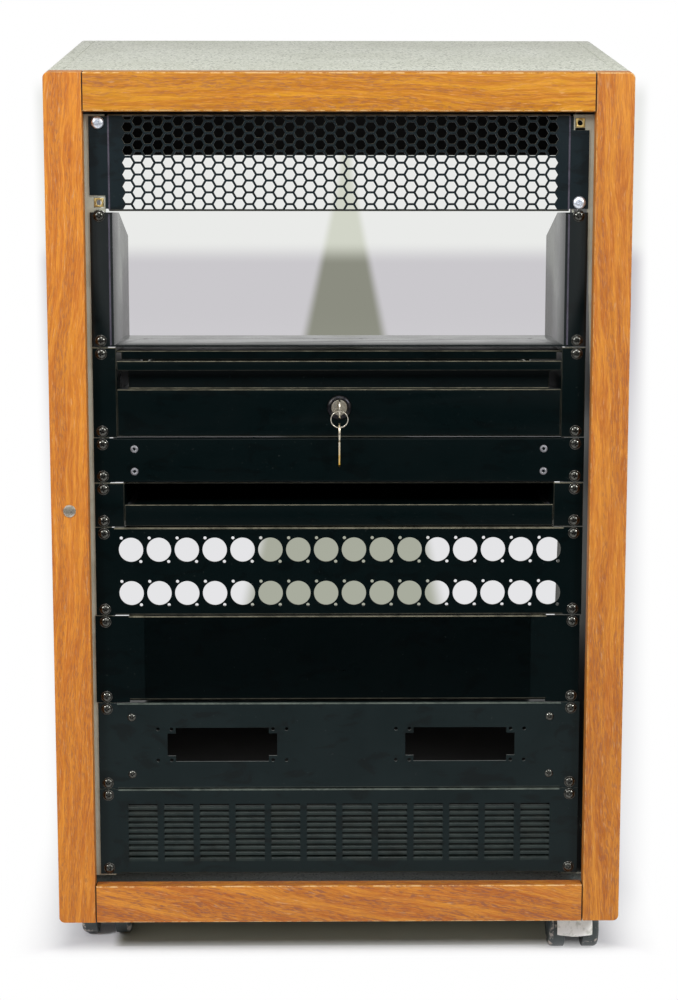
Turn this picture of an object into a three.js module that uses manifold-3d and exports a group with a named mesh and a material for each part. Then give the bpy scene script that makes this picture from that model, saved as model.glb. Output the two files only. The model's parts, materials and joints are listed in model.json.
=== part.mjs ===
// A studio rack stand: a level cabinet on casters whose oak-framed front leans back, with seventeen
// rack units of black steel panels, a lockable drawer and a sliding shelf screwed to its rack rails.
// Millimetres, +Z up, the front facing -Y, the origin on the floor under the middle of the cabinet.
import * as THREE from 'three';
import { mergeGeometries, mergeVertices } from 'three/addons/utils/BufferGeometryUtils.js';
import Module from 'manifold-3d';

const wasm = await Module();
wasm.setup();

// Cabinet
const cabinetDepth = 466;
const frontTilt = 10;
const wall = 17;
const cornerRadius = 11;
const seat = 0.3;

// Oak frame, its rails set between its stiles
const stileWidth = 36.5;
const topRailHeight = 36.5;
const bottomRailHeight = 38;
const oakThickness = 16;
const stileButtonRadius = 6.25;
const stileButtonProud = 1.2;
const stileButtonPinRadius = 2.5;
const stileButtonPinLength = 8;
const stileButtonHeight = 420;
const stileButtonInset = 18;

// Boards across the back, under the top and on the floor
const rearBoardHeight = 106;

// Rack standard
const holePitchWide = 15.875;
const holePitchNarrow = 12.7;
const rackUnit = 2 * holePitchWide + holePitchNarrow;
const firstHole = holePitchNarrow / 2;
const panelWidth = 482.6;
const holeInset = 8.75;
const holeSpan = panelWidth - 2 * holeInset;
const panelPlay = 0.8;
const panelEndGap = 4.7;
const topClearance = 3.7;
const bottomClearance = 8.15;
const sheet = 1.6;
const bayUnits = {
  hexVent: 2, openTray: 3, drawer: 2, blank: 1, shelf: 1, patch: 2, ventBox: 2, connector: 2, slotVent: 2,
};

// Rack rails
const railLap = 15.3;
const railInnerHalf = panelWidth / 2 - railLap;
const railThickness = 2;
const railReturn = 38;
const railOverrun = 1.5;
const squareHole = 9.5;

// Folded panels
const bodyInset = 18.8;
const bodyHalf = panelWidth / 2 - bodyInset;
const lipDepth = 12;
const bendRadius = 1.8;

// Hexagonal vent panel
const hexColumnPitch = 9.79;
const hexRowPitch = 11.3;
const hexWeb = 1.75;
const hexMargin = 1.9;
const hexOverhang = 2.2;
const hexEndMargin = 8;
const earNotchWidth = 15.3;
const earNotchHeight = 13;
const earHoleRadius = 3.4;

// Zinc rack screws and cage nuts
const screwHeadRadius = 6.2;
const screwHeadHeight = 3;
const screwHeadTopRadius = 4;
const screwShankRadius = 2.4;
const screwShankLength = 13;
const cageNutCore = 8.8;
const cageNutDepth = 6;
const cageNutWing = 13;
const cageNutWingThickness = 1.4;
const cageNutBore = 2.8;

// Open bay tray
const bayTrayDepth = 163;
const bayTrayTopGap = 2.6;
const bayTrayInset = 20.1;
const bayTrayHalf = panelWidth / 2 - bayTrayInset;
const cheekLevelDepth = 68;
const cheekDrop = 24;
const bayTrayHoleRadius = 2.4;
const bayTrayHoleDepth = 101;
const bayTrayHoleInnerHalf = 24;
const bayTrayHoleInset = 24.2;

// Drawer and its housing
const drawerHousingInset = 21.7;
const drawerHousingHalf = panelWidth / 2 - drawerHousingInset;
const drawerHousingDepth = 300;
const drawerHousingTopDrop = 3.4;
const drawerHousingLip = 8.6;
const drawerHousingLipInset = 4.5;
const drawerHousingLipSetback = 5;
const drawerHousingFall = 28;
const drawerBridgeDepth = 70;
const drawerFrontGap = 0.4;
const drawerFrontHalf = drawerHousingHalf - sheet - drawerFrontGap;
const drawerTopGap = 13.1;
const drawerFrontRise = 1.2;
const drawerTopLip = 9.5;
const fingerChannelHeight = 18.4;
const fingerChannelInset = 10;
const fingerChannelHalf = drawerFrontHalf - fingerChannelInset;
const fingerChannelDepth = 14;
const drawerBoxDepth = 285;
const drawerBoxHeight = 56;
const drawerBoxRise = 4;
const strikeClearance = 1.2;
const slideGap = 12.7;
const slideHeight = 35;
const slideWeb = 1.4;
const slideFlange = 9;
const slideBar = 4.2;
const slideRunning = 0.6;
const slideEndInset = 6;

// Cam lock, its key and the spare key on a split ring
const lockDrop = 17.7;
const lockBezelRadius = 12;
const lockBezelProud = 2.4;
const lockBarrelRadius = 9.4;
const lockBarrelLength = 20;
const lockCylinderRadius = 7.6;
const lockCylinderProud = 3.2;
const lockClearance = 0.3;
const camLength = 27;
const camWidth = 12;
const camThickness = 2;
const camHubRadius = 4.4;
const camHubLength = 2.6;
const keyThickness = 1.9;
const keyBladeHeight = 7;
const keyBladeDepth = 15;
const keyNeck = 3.4;
const keyBowRadius = 9.5;
const keyHoleRadius = 3;
const keyHoleOffset = 3.4;
const ringRadius = 8.3;
const ringWire = 0.8;
const spareBladeLength = 25;
const spareBladeHeight = 6.4;

// Sliding shelf and its housing
const shelfHousingInset = 27.7;
const shelfHousingHalf = panelWidth / 2 - shelfHousingInset;
const shelfHousingDepth = 300;
const shelfCoverSetback = 6;
const shelfFrontGap = 0.5;
const shelfTrayHalf = shelfHousingHalf - sheet - shelfFrontGap;
const shelfLipHeight = 21.2;
const shelfDepth = 290;
const shelfFloorInset = 5;
const shelfSlideHeight = 14;
const shelfSlideDrop = 3.2;

// Patch panel with two rows of round connector holes
const patchPitch = 27.6;
const patchRowOffset = 21.8;
const patchHoleRadius = 12.1;
const patchHoleSides = 8;

// Recessed vented box
const ventBoxInset = 48.5;
const ventBoxOpeningHalf = panelWidth / 2 - ventBoxInset;
const ventBoxDepth = 180;
const ventBoxRise = 2.6;
const ventBoxFoldInset = 33.3;
const ventBoxFoldHalf = panelWidth / 2 - ventBoxFoldInset;
const ventBoxShift = 1.4;
const ventSlotPitch = 21.3;
const ventSlotWidth = 5;
const ventSlotStart = 14;
const ventSlotLength = 36;

// Connector panel with two stepped cut-outs
const cutoutOffset = 119.4;
const cutoutWide = 110;
const cutoutWideHeight = 23;
const cutoutTall = 93.3;
const cutoutTallHeight = 34.7;

// Slotted vent panel
const slotColumnPitch = 36;
const slotRowPitch = 5.95;
const slotMargin = 12;
const slotLength = 29.3;
const slotHeight = 3;

// Casters
const casterHeight = 60;
const casterInset = 39;
const casterSetback = 76;
const casterPlateSize = 38;
const casterPlateThickness = 2.5;
const casterStemRadius = 4;
const casterStemLength = 22;
const casterTrail = 16;
const wheelRadius = 25;
const wheelWidth = 16.5;
const wheelChamfer = 3;
const wheelCap = 2.5;
const wheelBore = 3.6;
const axleRadius = 3.2;
const casterHubHalf = 9;
const casterHoodHalf = 18;
const casterHoodGap = 2.2;
const casterHoodThickness = 2.4;
const casterHoodArcShares = { start: 0.08, end: 1.09 };
const casterHubRadiusShare = 0.62;
const casterBossRadius = 8.6;
const casterBossClearance = 0.5;

// Facets and cutting
const cut = 5;
const bendSteps = 2;
const cornerSteps = 4;
const roundSides = 12;
const smallSides = 8;
const wheelSides = 12;
const hoodSteps = 8;

// Places worked out from the sizes above
const tilt = THREE.MathUtils.degToRad(frontTilt);
const rackUnits = Object.values(bayUnits).reduce((sum, units) => sum + units);
const faceLength = bottomRailHeight + bottomClearance + rackUnits * rackUnit + topClearance + topRailHeight;
const cabinetWidth = panelWidth + 2 * (panelEndGap + stileWidth);
const cabinetHeight = faceLength * Math.cos(tilt);
const frontY = -cabinetDepth / 2;
const backY = cabinetDepth / 2;
const bottomZ = casterHeight;
const topZ = bottomZ + cabinetHeight;
const halfWidth = cabinetWidth / 2;
const innerHalf = halfWidth - wall;
const stileInner = halfWidth - stileWidth;
const rackTop = faceLength - topRailHeight - topClearance;
const panelFront = oakThickness - sheet;
const railFront = oakThickness + seat;

// Materials, in the colours of the photograph
const finish = (color, roughness, metalness) =>
  new THREE.MeshStandardMaterial({ color, roughness, metalness });
const oak = finish(0xb8662c, 0.5, 0);
const laminate = finish(0xa9aca0, 0.6, 0);
const blackBoard = finish(0x16130f, 0.8, 0);
const blackSteel = finish(0x10161a, 0.45, 0.4);
const greySteel = finish(0x1c2327, 0.45, 0.4);
const railSteel = finish(0xa5a38f, 0.45, 0.7);
const zinc = finish(0xc8ccce, 0.3, 0.9);
const yellowZinc = finish(0xc9ad62, 0.35, 0.9);
const nickel = finish(0xb9b3a4, 0.25, 0.95);
const brass = finish(0xb8923f, 0.35, 0.9);
const hoodPlastic = finish(0xb4b5b0, 0.6, 0);
const tyrePlastic = finish(0x3a3f40, 0.7, 0);

// Solids

// A closed geometry as a solid that can be joined and cut.
function solid(geometry) {
  const bare = geometry.clone();
  bare.deleteAttribute('normal');
  bare.deleteAttribute('uv');
  const merged = mergeVertices(bare);
  return new wasm.Manifold(new wasm.Mesh({
    numProp: 3,
    vertProperties: merged.attributes.position.array,
    triVerts: Uint32Array.from(merged.index.array),
  }));
}

// A solid back as a geometry with flat faces.
function geometryOf(made) {
  const mesh = made.getMesh();
  const geometry = new THREE.BufferGeometry();
  geometry.setAttribute('position', new THREE.BufferAttribute(Float32Array.from(mesh.vertProperties), 3));
  geometry.setIndex(new THREE.BufferAttribute(Uint32Array.from(mesh.triVerts), 1));
  const flat = geometry.toNonIndexed();
  flat.computeVertexNormals();
  return flat;
}

const joined = (...solids) => solids.reduce((all, next) => all.add(next));
const cutFrom = (body, ...tools) => tools.reduce((left, tool) => left.subtract(tool), body);

// A box between two values on each axis.
function block([x0, x1], [y0, y1], [z0, z1]) {
  const geometry = new THREE.BoxGeometry(x1 - x0, y1 - y0, z1 - z0);
  return geometry.translate((x0 + x1) / 2, (y0 + y1) / 2, (z0 + z1) / 2);
}

// A shape drawn in x and z, extruded inwards along y.
function frontal(shape, y0, depth, curveSegments = 1) {
  const geometry = new THREE.ExtrudeGeometry(shape, { depth, bevelEnabled: false, curveSegments });
  return geometry.rotateX(Math.PI / 2).translate(0, y0 + depth, 0);
}

// A shape drawn in y and z, extruded along x.
const alongX = new THREE.Matrix4().makeBasis(
  new THREE.Vector3(0, 1, 0), new THREE.Vector3(0, 0, 1), new THREE.Vector3(1, 0, 0),
);
function lateral(shape, x0, x1, curveSegments = 1) {
  const geometry = new THREE.ExtrudeGeometry(shape, { depth: x1 - x0, bevelEnabled: false, curveSegments });
  return geometry.applyMatrix4(alongX).translate(x0, 0, 0);
}

const outline = (points) => new THREE.Shape(points.map(([a, b]) => new THREE.Vector2(a, b)));

// A regular outline with its first corner at an angle, around a centre.
function polygon(sides, radius, [a, b] = [0, 0], turn = 0) {
  const corners = Array.from({ length: sides }, (_, i) => turn + (i * 2 * Math.PI) / sides);
  return outline(corners.map((t) => [a + radius * Math.cos(t), b + radius * Math.sin(t)]));
}

// A round bar along y.
const barY = (radius, y0, y1, [x, z] = [0, 0], sides = roundSides) =>
  frontal(polygon(sides, radius, [x, z]), y0, y1 - y0);

// A round bar along x.
const barX = (radius, x0, x1, [y, z] = [0, 0], sides = roundSides) =>
  lateral(polygon(sides, radius, [y, z]), x0, x1);

// A profile of radius and distance turned about an axis that points along y.
function turnedY(profile, sides, [x, z] = [0, 0]) {
  const geometry = new THREE.LatheGeometry(profile.map(([r, d]) => new THREE.Vector2(r, d)), sides);
  return geometry.translate(x, 0, z);
}

// A rounded rectangle about a centre.
function roundedRectangle(width, height, radius, [cx, cz] = [0, 0]) {
  const [w, h] = [width / 2, height / 2];
  const shape = new THREE.Shape();
  shape.moveTo(cx - w + radius, cz - h);
  shape.lineTo(cx + w - radius, cz - h);
  shape.absarc(cx + w - radius, cz - h + radius, radius, -Math.PI / 2, 0);
  shape.lineTo(cx + w, cz + h - radius);
  shape.absarc(cx + w - radius, cz + h - radius, radius, 0, Math.PI / 2);
  shape.lineTo(cx - w + radius, cz + h);
  shape.absarc(cx - w + radius, cz + h - radius, radius, Math.PI / 2, Math.PI);
  shape.lineTo(cx - w, cz - h + radius);
  shape.absarc(cx - w + radius, cz - h + radius, radius, Math.PI, Math.PI * 1.5);
  return shape;
}

const stand = new THREE.Group();
// What hangs on the leaning front is placed in its plane: x across, y inwards from the oak's front
// face, z up that face from its bottom edge.
const face = new THREE.Group();
face.position.set(0, frontY, bottomZ);
face.rotation.x = -tilt;
stand.add(face);

function place(parent, name, made, material) {
  const mesh = new THREE.Mesh(made.isBufferGeometry ? made : geometryOf(made), material);
  mesh.name = name;
  parent.add(mesh);
  return mesh;
}

// Where a point of the leaning front lies in the stand, as [y, z].
const onStand = (inwards, up) => [
  frontY + up * Math.sin(tilt) + inwards * Math.cos(tilt),
  bottomZ + up * Math.cos(tilt) - inwards * Math.sin(tilt),
];
// The y of a plane parallel to the front, so far inwards, at a level z.
const frontPlaneY = (inwards, z) => frontY + (z - bottomZ) * Math.tan(tilt) + inwards / Math.cos(tilt);

// Cabinet

const envelope = solid(frontal(
  roundedRectangle(cabinetWidth, cabinetHeight, cornerRadius, [0, (bottomZ + topZ) / 2]),
  frontY - cut, cabinetDepth + 2 * cut, cornerSteps,
));

function buildCabinet() {
  const behindOak = railFront;
  const sideProfile = outline([
    [frontPlaneY(behindOak, bottomZ), bottomZ], [backY, bottomZ],
    [backY, topZ], [frontPlaneY(behindOak, topZ), topZ],
  ]);
  for (const [name, x0, x1] of [
    ['left_side', -halfWidth, -innerHalf], ['right_side', innerHalf, halfWidth],
  ]) place(stand, name, solid(lateral(sideProfile, x0, x1)).intersect(envelope), laminate);

  const between = [-innerHalf + seat, innerHalf - seat];
  const top = topZ - wall;
  place(stand, 'top_panel', lateral(outline([
    [frontPlaneY(behindOak, top), top], [backY, top], [backY, topZ], [frontPlaneY(behindOak, topZ), topZ],
  ]), ...between), laminate);
  const floor = bottomZ + wall;
  place(stand, 'bottom_panel', lateral(outline([
    [frontPlaneY(behindOak, bottomZ), bottomZ], [backY, bottomZ], [backY, floor],
    [frontPlaneY(behindOak, floor), floor],
  ]), ...between), laminate);
  const boardTop = top - seat;
  place(stand, 'rear_board', block(between, [backY - wall, backY], [boardTop - rearBoardHeight, boardTop]),
    blackBoard);
  const boardBottom = floor + seat;
  place(stand, 'rear_board_lower',
    block(between, [backY - wall, backY], [boardBottom, boardBottom + rearBoardHeight]), blackBoard);
}

function buildOakFrame() {
  const stileProfile = outline([
    [frontPlaneY(0, bottomZ), bottomZ], [frontPlaneY(oakThickness, bottomZ), bottomZ],
    [frontPlaneY(oakThickness, topZ), topZ], [frontPlaneY(0, topZ), topZ],
  ]);
  const [buttonY, buttonZ] = onStand(0, stileButtonHeight);
  const pinHole = solid(barY(stileButtonPinRadius + seat, -cut, stileButtonPinLength + seat, [0, 0], smallSides)
    .rotateX(-tilt).translate(-halfWidth + stileButtonInset, buttonY, buttonZ));
  const left = solid(lateral(stileProfile, -halfWidth, -stileInner)).intersect(envelope);
  place(stand, 'oak_stile_left', left.subtract(pinHole), oak);
  place(stand, 'oak_stile_right', solid(lateral(stileProfile, stileInner, halfWidth)).intersect(envelope), oak);

  const between = [-stileInner + seat, stileInner - seat];
  const underTop = faceLength - topRailHeight;
  place(stand, 'oak_rail_top', lateral(outline([
    onStand(0, underTop), onStand(oakThickness, underTop),
    [frontPlaneY(oakThickness, topZ), topZ], [frontPlaneY(0, topZ), topZ],
  ]), ...between), oak);
  place(stand, 'oak_rail_bottom', lateral(outline([
    [frontPlaneY(0, bottomZ), bottomZ], [frontPlaneY(oakThickness, bottomZ), bottomZ],
    onStand(oakThickness, bottomRailHeight), onStand(0, bottomRailHeight),
  ]), ...between), oak);

  // A domed steel button on a pin in the left stile.
  const button = turnedY([
    [0, -stileButtonProud - seat], [stileButtonRadius / 2, -stileButtonProud - seat],
    [stileButtonRadius, -seat - stileButtonProud / 2], [stileButtonRadius, -seat],
    [stileButtonPinRadius, -seat], [stileButtonPinRadius, stileButtonPinLength - seat],
    [0, stileButtonPinLength - seat],
  ], roundSides, [-halfWidth + stileButtonInset, stileButtonHeight]);
  place(face, 'stile_button', button, nickel);
}

// Rack: the bays from the top down, each with its height in rack units

const bays = {};
let bayTop = rackTop;
for (const [name, units] of Object.entries(bayUnits)) {
  const bottom = bayTop - units * rackUnit;
  bays[name] = { top: bayTop - panelPlay / 2, bottom: bottom + panelPlay / 2, middle: (bayTop + bottom) / 2 };
  bays[name].holes = [bayTop - firstHole, bottom + firstHole];
  bayTop = bottom;
}
const rackBottom = bayTop;
const holeHalf = holeSpan / 2;

function buildRackRails() {
  const outer = innerHalf - seat;
  const angle = outline([
    [railInnerHalf, railFront], [outer, railFront], [outer, railFront + railReturn],
    [outer - railThickness, railFront + railReturn], [outer - railThickness, railFront + railThickness],
    [railInnerHalf, railFront + railThickness],
  ]);
  const length = rackTop - rackBottom + 2 * railOverrun;
  const bar = new THREE.ExtrudeGeometry(angle, { depth: length, bevelEnabled: false });
  bar.translate(0, 0, rackBottom - railOverrun);
  const half = squareHole / 2;
  const holes = bays.hexVent.holes.map((z) => block(
    [holeHalf - half, holeHalf + half], [railFront - cut, railFront + railThickness + cut], [z - half, z + half],
  ));
  const rail = cutFrom(solid(bar), solid(mergeGeometries(holes)));
  place(face, 'rack_rail_left', rail.mirror([1, 0, 0]), railSteel);
  place(face, 'rack_rail_right', rail, railSteel);
}

// The flat ears of a bay's panel, from an inner half width out to the panel's edge.
function ears(bay, innerEdge) {
  const half = panelWidth / 2;
  const span = [panelFront, oakThickness];
  return [
    block([-half, -innerEdge], span, [bay.bottom, bay.top]),
    block([innerEdge, half], span, [bay.bottom, bay.top]),
  ];
}

// A folded channel: a face with a lip bent back along its top and bottom, run across the rack.
function foldedBody(bay, half, depth = lipDepth) {
  const [low, high] = [bay.bottom, bay.top];
  const inner = bendRadius - sheet;
  const back = panelFront + depth;
  const shape = new THREE.Shape();
  shape.moveTo(back, high);
  shape.lineTo(panelFront + bendRadius, high);
  shape.absarc(panelFront + bendRadius, high - bendRadius, bendRadius, Math.PI / 2, Math.PI);
  shape.lineTo(panelFront, low + bendRadius);
  shape.absarc(panelFront + bendRadius, low + bendRadius, bendRadius, Math.PI, Math.PI * 1.5);
  shape.lineTo(back, low);
  shape.lineTo(back, low + sheet);
  shape.lineTo(panelFront + bendRadius, low + sheet);
  shape.absarc(panelFront + bendRadius, low + bendRadius, inner, Math.PI * 1.5, Math.PI, true);
  shape.lineTo(oakThickness, high - bendRadius);
  shape.absarc(panelFront + bendRadius, high - bendRadius, inner, Math.PI, Math.PI / 2, true);
  shape.lineTo(back, high - sheet);
  return lateral(shape, -half, half, bendSteps);
}

// A folded panel, its body taller than its bay by an overhang at the top and the bottom.
const foldedPanel = (bay, overhang = 0) => joined(
  solid(foldedBody({ top: bay.top + overhang, bottom: bay.bottom - overhang }, bodyHalf)),
  ...ears(bay, bodyHalf - sheet).map(solid),
);

// Cuts through the sheet of a panel, all the same depth.
const through = (shape) => frontal(shape, panelFront - cut, sheet + 2 * cut);
const pierce = (body, shapes) => body.subtract(solid(mergeGeometries(shapes.map(through))));

// A convex outline cut off above one level and below another.
function clipped(points, low, high) {
  let kept = points;
  for (const [level, side] of [[high, 1], [low, -1]]) {
    const over = ([, z]) => (z - level) * side > 0;
    kept = kept.flatMap((point, i) => {
      const next = kept[(i + 1) % kept.length];
      const own = over(point) ? [] : [point];
      if (over(point) === over(next)) return own;
      const share = (level - point[1]) / (next[1] - point[1]);
      return [...own, [point[0] + (next[0] - point[0]) * share, level]];
    });
  }
  return kept;
}

// The cells of the hexagonal grille. Every second column is shifted by half a cell, and the cells at
// the panel's top and bottom end at its folds.
function hexCells(bay) {
  const radius = (hexRowPitch - hexWeb) / Math.sqrt(3);
  const flat = (hexRowPitch - hexWeb) / 2;
  const reach = Math.floor((bodyHalf - hexEndMargin - radius) / hexColumnPitch);
  const shortRows = Math.floor((bay.top - bay.bottom) / hexRowPitch) + 1;
  const [low, high] = [bay.bottom - hexOverhang + hexMargin, bay.top + hexOverhang - hexMargin];
  const cells = [];
  for (let column = -reach; column <= reach; column += 1) {
    const rows = shortRows + Math.abs(column % 2);
    const x = column * hexColumnPitch;
    for (let row = 0; row < rows; row += 1) {
      const z = bay.middle + (row - (rows - 1) / 2) * hexRowPitch;
      cells.push(outline(clipped([
        [x + radius, z], [x + radius / 2, z + flat], [x - radius / 2, z + flat],
        [x - radius, z], [x - radius / 2, z - flat], [x + radius / 2, z - flat],
      ], low, high)));
    }
  }
  return cells;
}

function buildHexVentPanel() {
  const bay = bays.hexVent;
  const half = panelWidth / 2;
  const edge = half + cut;
  const notch = (side, z0, z1) => block(
    side < 0 ? [-edge, -half + earNotchWidth] : [half - earNotchWidth, edge],
    [panelFront - cut, oakThickness + cut], [z0, z1],
  );
  let panel = foldedPanel(bay, hexOverhang);
  panel = pierce(panel, hexCells(bay));
  panel = cutFrom(panel,
    solid(notch(-1, bay.bottom - cut, bay.bottom + earNotchHeight)),
    solid(notch(1, bay.top - earNotchHeight, bay.top + cut)));
  const screws = [['zinc_screw_upper', -holeHalf, bay.holes[0]], ['zinc_screw_lower', holeHalf, bay.holes[1]]];
  const flatUp = Math.PI / smallSides;
  panel = pierce(panel, screws.map(([, x, z]) => polygon(smallSides, earHoleRadius, [x, z], flatUp)));
  place(face, 'hex_vent_panel', panel, blackSteel);

  for (const [name, x, z] of screws) {
    const under = panelFront - seat;
    place(face, name, turnedY([
      [0, under - screwHeadHeight], [screwHeadTopRadius, under - screwHeadHeight],
      [screwHeadRadius, under - screwHeadHeight / 2], [screwHeadRadius, under],
      [screwShankRadius, under], [screwShankRadius, under + screwShankLength], [0, under + screwShankLength],
    ], roundSides, [x, z]), zinc);
  }
  // A cage nut in each of the rails' square holes: its core in the hole, its wings behind the rail.
  const core = cageNutCore / 2;
  const wing = cageNutWing / 2;
  const wingY = railFront + railThickness + seat;
  for (const [label, z] of [['upper', bay.holes[0]], ['lower', bay.holes[1]]]) {
    for (const [side, x] of [['left', -holeHalf], ['right', holeHalf]]) {
      const nut = joined(
        solid(block([x - core, x + core], [railFront, railFront + cageNutDepth], [z - core, z + core])),
        solid(block([x - wing, x + wing], [wingY, wingY + cageNutWingThickness], [z - core, z + core])),
      );
      const bore = barY(cageNutBore, railFront - cut, railFront + cageNutDepth + cut, [x, z], smallSides);
      place(face, `cage_nut_${label}_${side}`, cutFrom(nut, solid(bore)), yellowZinc);
    }
  }
}

function buildOpenTray() {
  const bay = { ...bays.openTray, top: bays.openTray.top - bayTrayTopGap };
  const back = panelFront + bayTrayDepth;
  const cheek = outline([
    [panelFront, bay.bottom], [back, bay.bottom], [back, bay.top - cheekDrop],
    [panelFront + cheekLevelDepth, bay.top], [panelFront, bay.top],
  ]);
  const holes = [bayTrayHoleInnerHalf, bayTrayHalf - bayTrayHoleInset].flatMap((x) => [-x, x]).map((x) => {
    const bar = new THREE.CylinderGeometry(bayTrayHoleRadius, bayTrayHoleRadius, sheet + 2 * cut, smallSides);
    return bar.rotateX(Math.PI / 2).translate(x, panelFront + bayTrayHoleDepth, bay.bottom + sheet / 2);
  });
  const tray = joined(
    ...ears(bay, bayTrayHalf - sheet).map(solid),
    solid(lateral(cheek, -bayTrayHalf, -bayTrayHalf + sheet)),
    solid(lateral(cheek, bayTrayHalf - sheet, bayTrayHalf)),
    solid(block([-bayTrayHalf, bayTrayHalf], [panelFront, back], [bay.bottom, bay.bottom + sheet])),
  );
  place(face, 'open_tray', cutFrom(tray, solid(mergeGeometries(holes))), blackSteel);
}

// One side of a pair of slides. The outer member is a channel on the housing, the inner member a bar
// on what slides. `side` is -1 or 1, `wallX` the housing's inner face, `boxX` the moving wall.
function slidePair(prefix, side, wallX, boxX, height, middle, start, length) {
  const outerWall = wallX - seat;
  const flange = outerWall - slideFlange;
  const half = height / 2;
  const y = [start, start + length];
  const span = (a, b) => (side < 0 ? [-Math.max(a, b), -Math.min(a, b)] : [Math.min(a, b), Math.max(a, b)]);
  const outer = joined(
    solid(block(span(outerWall - slideWeb, outerWall), y, [middle - half, middle + half])),
    solid(block(span(flange, outerWall), y, [middle + half - slideWeb, middle + half])),
    solid(block(span(flange, outerWall), y, [middle - half, middle - half + slideWeb])),
  );
  const inner = block(
    span(boxX + seat, boxX + seat + slideBar + slideRunning), y,
    [middle - half + slideWeb + slideRunning, middle + half - slideWeb - slideRunning],
  );
  const label = side < 0 ? 'left' : 'right';
  place(face, `${prefix}_slide_outer_${label}`, outer, zinc);
  place(face, `${prefix}_slide_inner_${label}`, inner, zinc);
}

function buildDrawer() {
  const bay = bays.drawer;
  const back = panelFront + drawerHousingDepth;
  const inside = drawerHousingHalf - sheet;
  const lipFront = panelFront + drawerHousingLipSetback;
  const strikeY = panelFront + fingerChannelDepth + sheet + strikeClearance;
  const front = { top: bay.top - drawerTopGap, bottom: bay.bottom + drawerFrontRise };
  const channelTop = front.top - drawerTopLip;
  const channelBottom = channelTop - fingerChannelHeight;
  const lockZ = channelBottom - lockDrop;
  const strikeBottom = lockZ + camLength - camWidth / 2 + sheet;
  const bridgeBack = panelFront + drawerBridgeDepth;
  const coverTop = bay.top - drawerHousingTopDrop;
  const lipHalf = inside - drawerHousingLipInset;
  const cheek = outline([
    [panelFront, bay.bottom], [back, bay.bottom], [back, bay.top - drawerHousingFall],
    [bridgeBack, bay.top], [panelFront, bay.top],
  ]);
  const housing = joined(
    ...ears(bay, inside).map(solid),
    solid(lateral(cheek, -drawerHousingHalf, -inside)),
    solid(lateral(cheek, inside, drawerHousingHalf)),
    solid(block([-inside, inside], [lipFront, bridgeBack], [coverTop - sheet, coverTop])),
    solid(block([-lipHalf, lipHalf], [lipFront, lipFront + sheet], [coverTop - drawerHousingLip, coverTop])),
    solid(block([-camWidth, camWidth], [strikeY, strikeY + sheet], [strikeBottom, coverTop - sheet / 2])),
    solid(block([-inside, inside], [lipFront, bridgeBack], [bay.bottom, bay.bottom + sheet])),
    solid(block([-inside, inside], [back - drawerBridgeDepth, back], [bay.bottom, bay.bottom + sheet])),
  );
  place(face, 'drawer_housing', housing, blackSteel);

  const boxOuter = inside - slideGap;
  const boxBottom = bay.bottom + drawerBoxRise;
  const boxTop = boxBottom + drawerBoxHeight;
  const boxBack = panelFront + drawerBoxDepth;
  // The finger channel is open at both ends, where its back wall stops short of its two flanges.
  const channelBack = panelFront + fingerChannelDepth;
  const channelSpan = [channelBottom, channelTop];
  const beyond = drawerFrontHalf + cut;
  const channelShell = block([-drawerFrontHalf, drawerFrontHalf], [panelFront, channelBack + sheet],
    [channelBottom - sheet, channelTop + sheet]);
  const channel = block([-beyond, beyond], [panelFront - cut, channelBack], channelSpan);
  const channelEnds = [[-beyond, -fingerChannelHalf], [fingerChannelHalf, beyond]].map((span) =>
    block(span, [panelFront, channelBack + sheet + cut], channelSpan));
  const inner = boxOuter - sheet;
  const drawer = cutFrom(
    joined(
      solid(block([-drawerFrontHalf, drawerFrontHalf], [panelFront, oakThickness], [front.bottom, front.top])),
      solid(channelShell),
      solid(block([-boxOuter, -inner], [panelFront, boxBack], [boxBottom, boxTop])),
      solid(block([inner, boxOuter], [panelFront, boxBack], [boxBottom, boxTop])),
      solid(block([-boxOuter, boxOuter], [boxBack - sheet, boxBack], [boxBottom, boxTop])),
      solid(block([-boxOuter, boxOuter], [panelFront, boxBack], [boxBottom, boxBottom + sheet])),
    ),
    solid(channel), ...channelEnds.map(solid),
    solid(barY(lockBarrelRadius + lockClearance, panelFront - cut, oakThickness + cut, [0, lockZ])),
  );
  place(face, 'drawer', drawer, blackSteel);

  const slideStart = oakThickness + fingerChannelDepth + slideEndInset;
  const slideLength = boxBack - slideEndInset - slideStart;
  const slideMiddle = (boxBottom + boxTop) / 2 - slideEndInset;
  for (const side of [-1, 1]) {
    slidePair('drawer', side, inside, boxOuter, slideHeight, slideMiddle, slideStart, slideLength);
  }
  return { lockZ };
}

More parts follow.
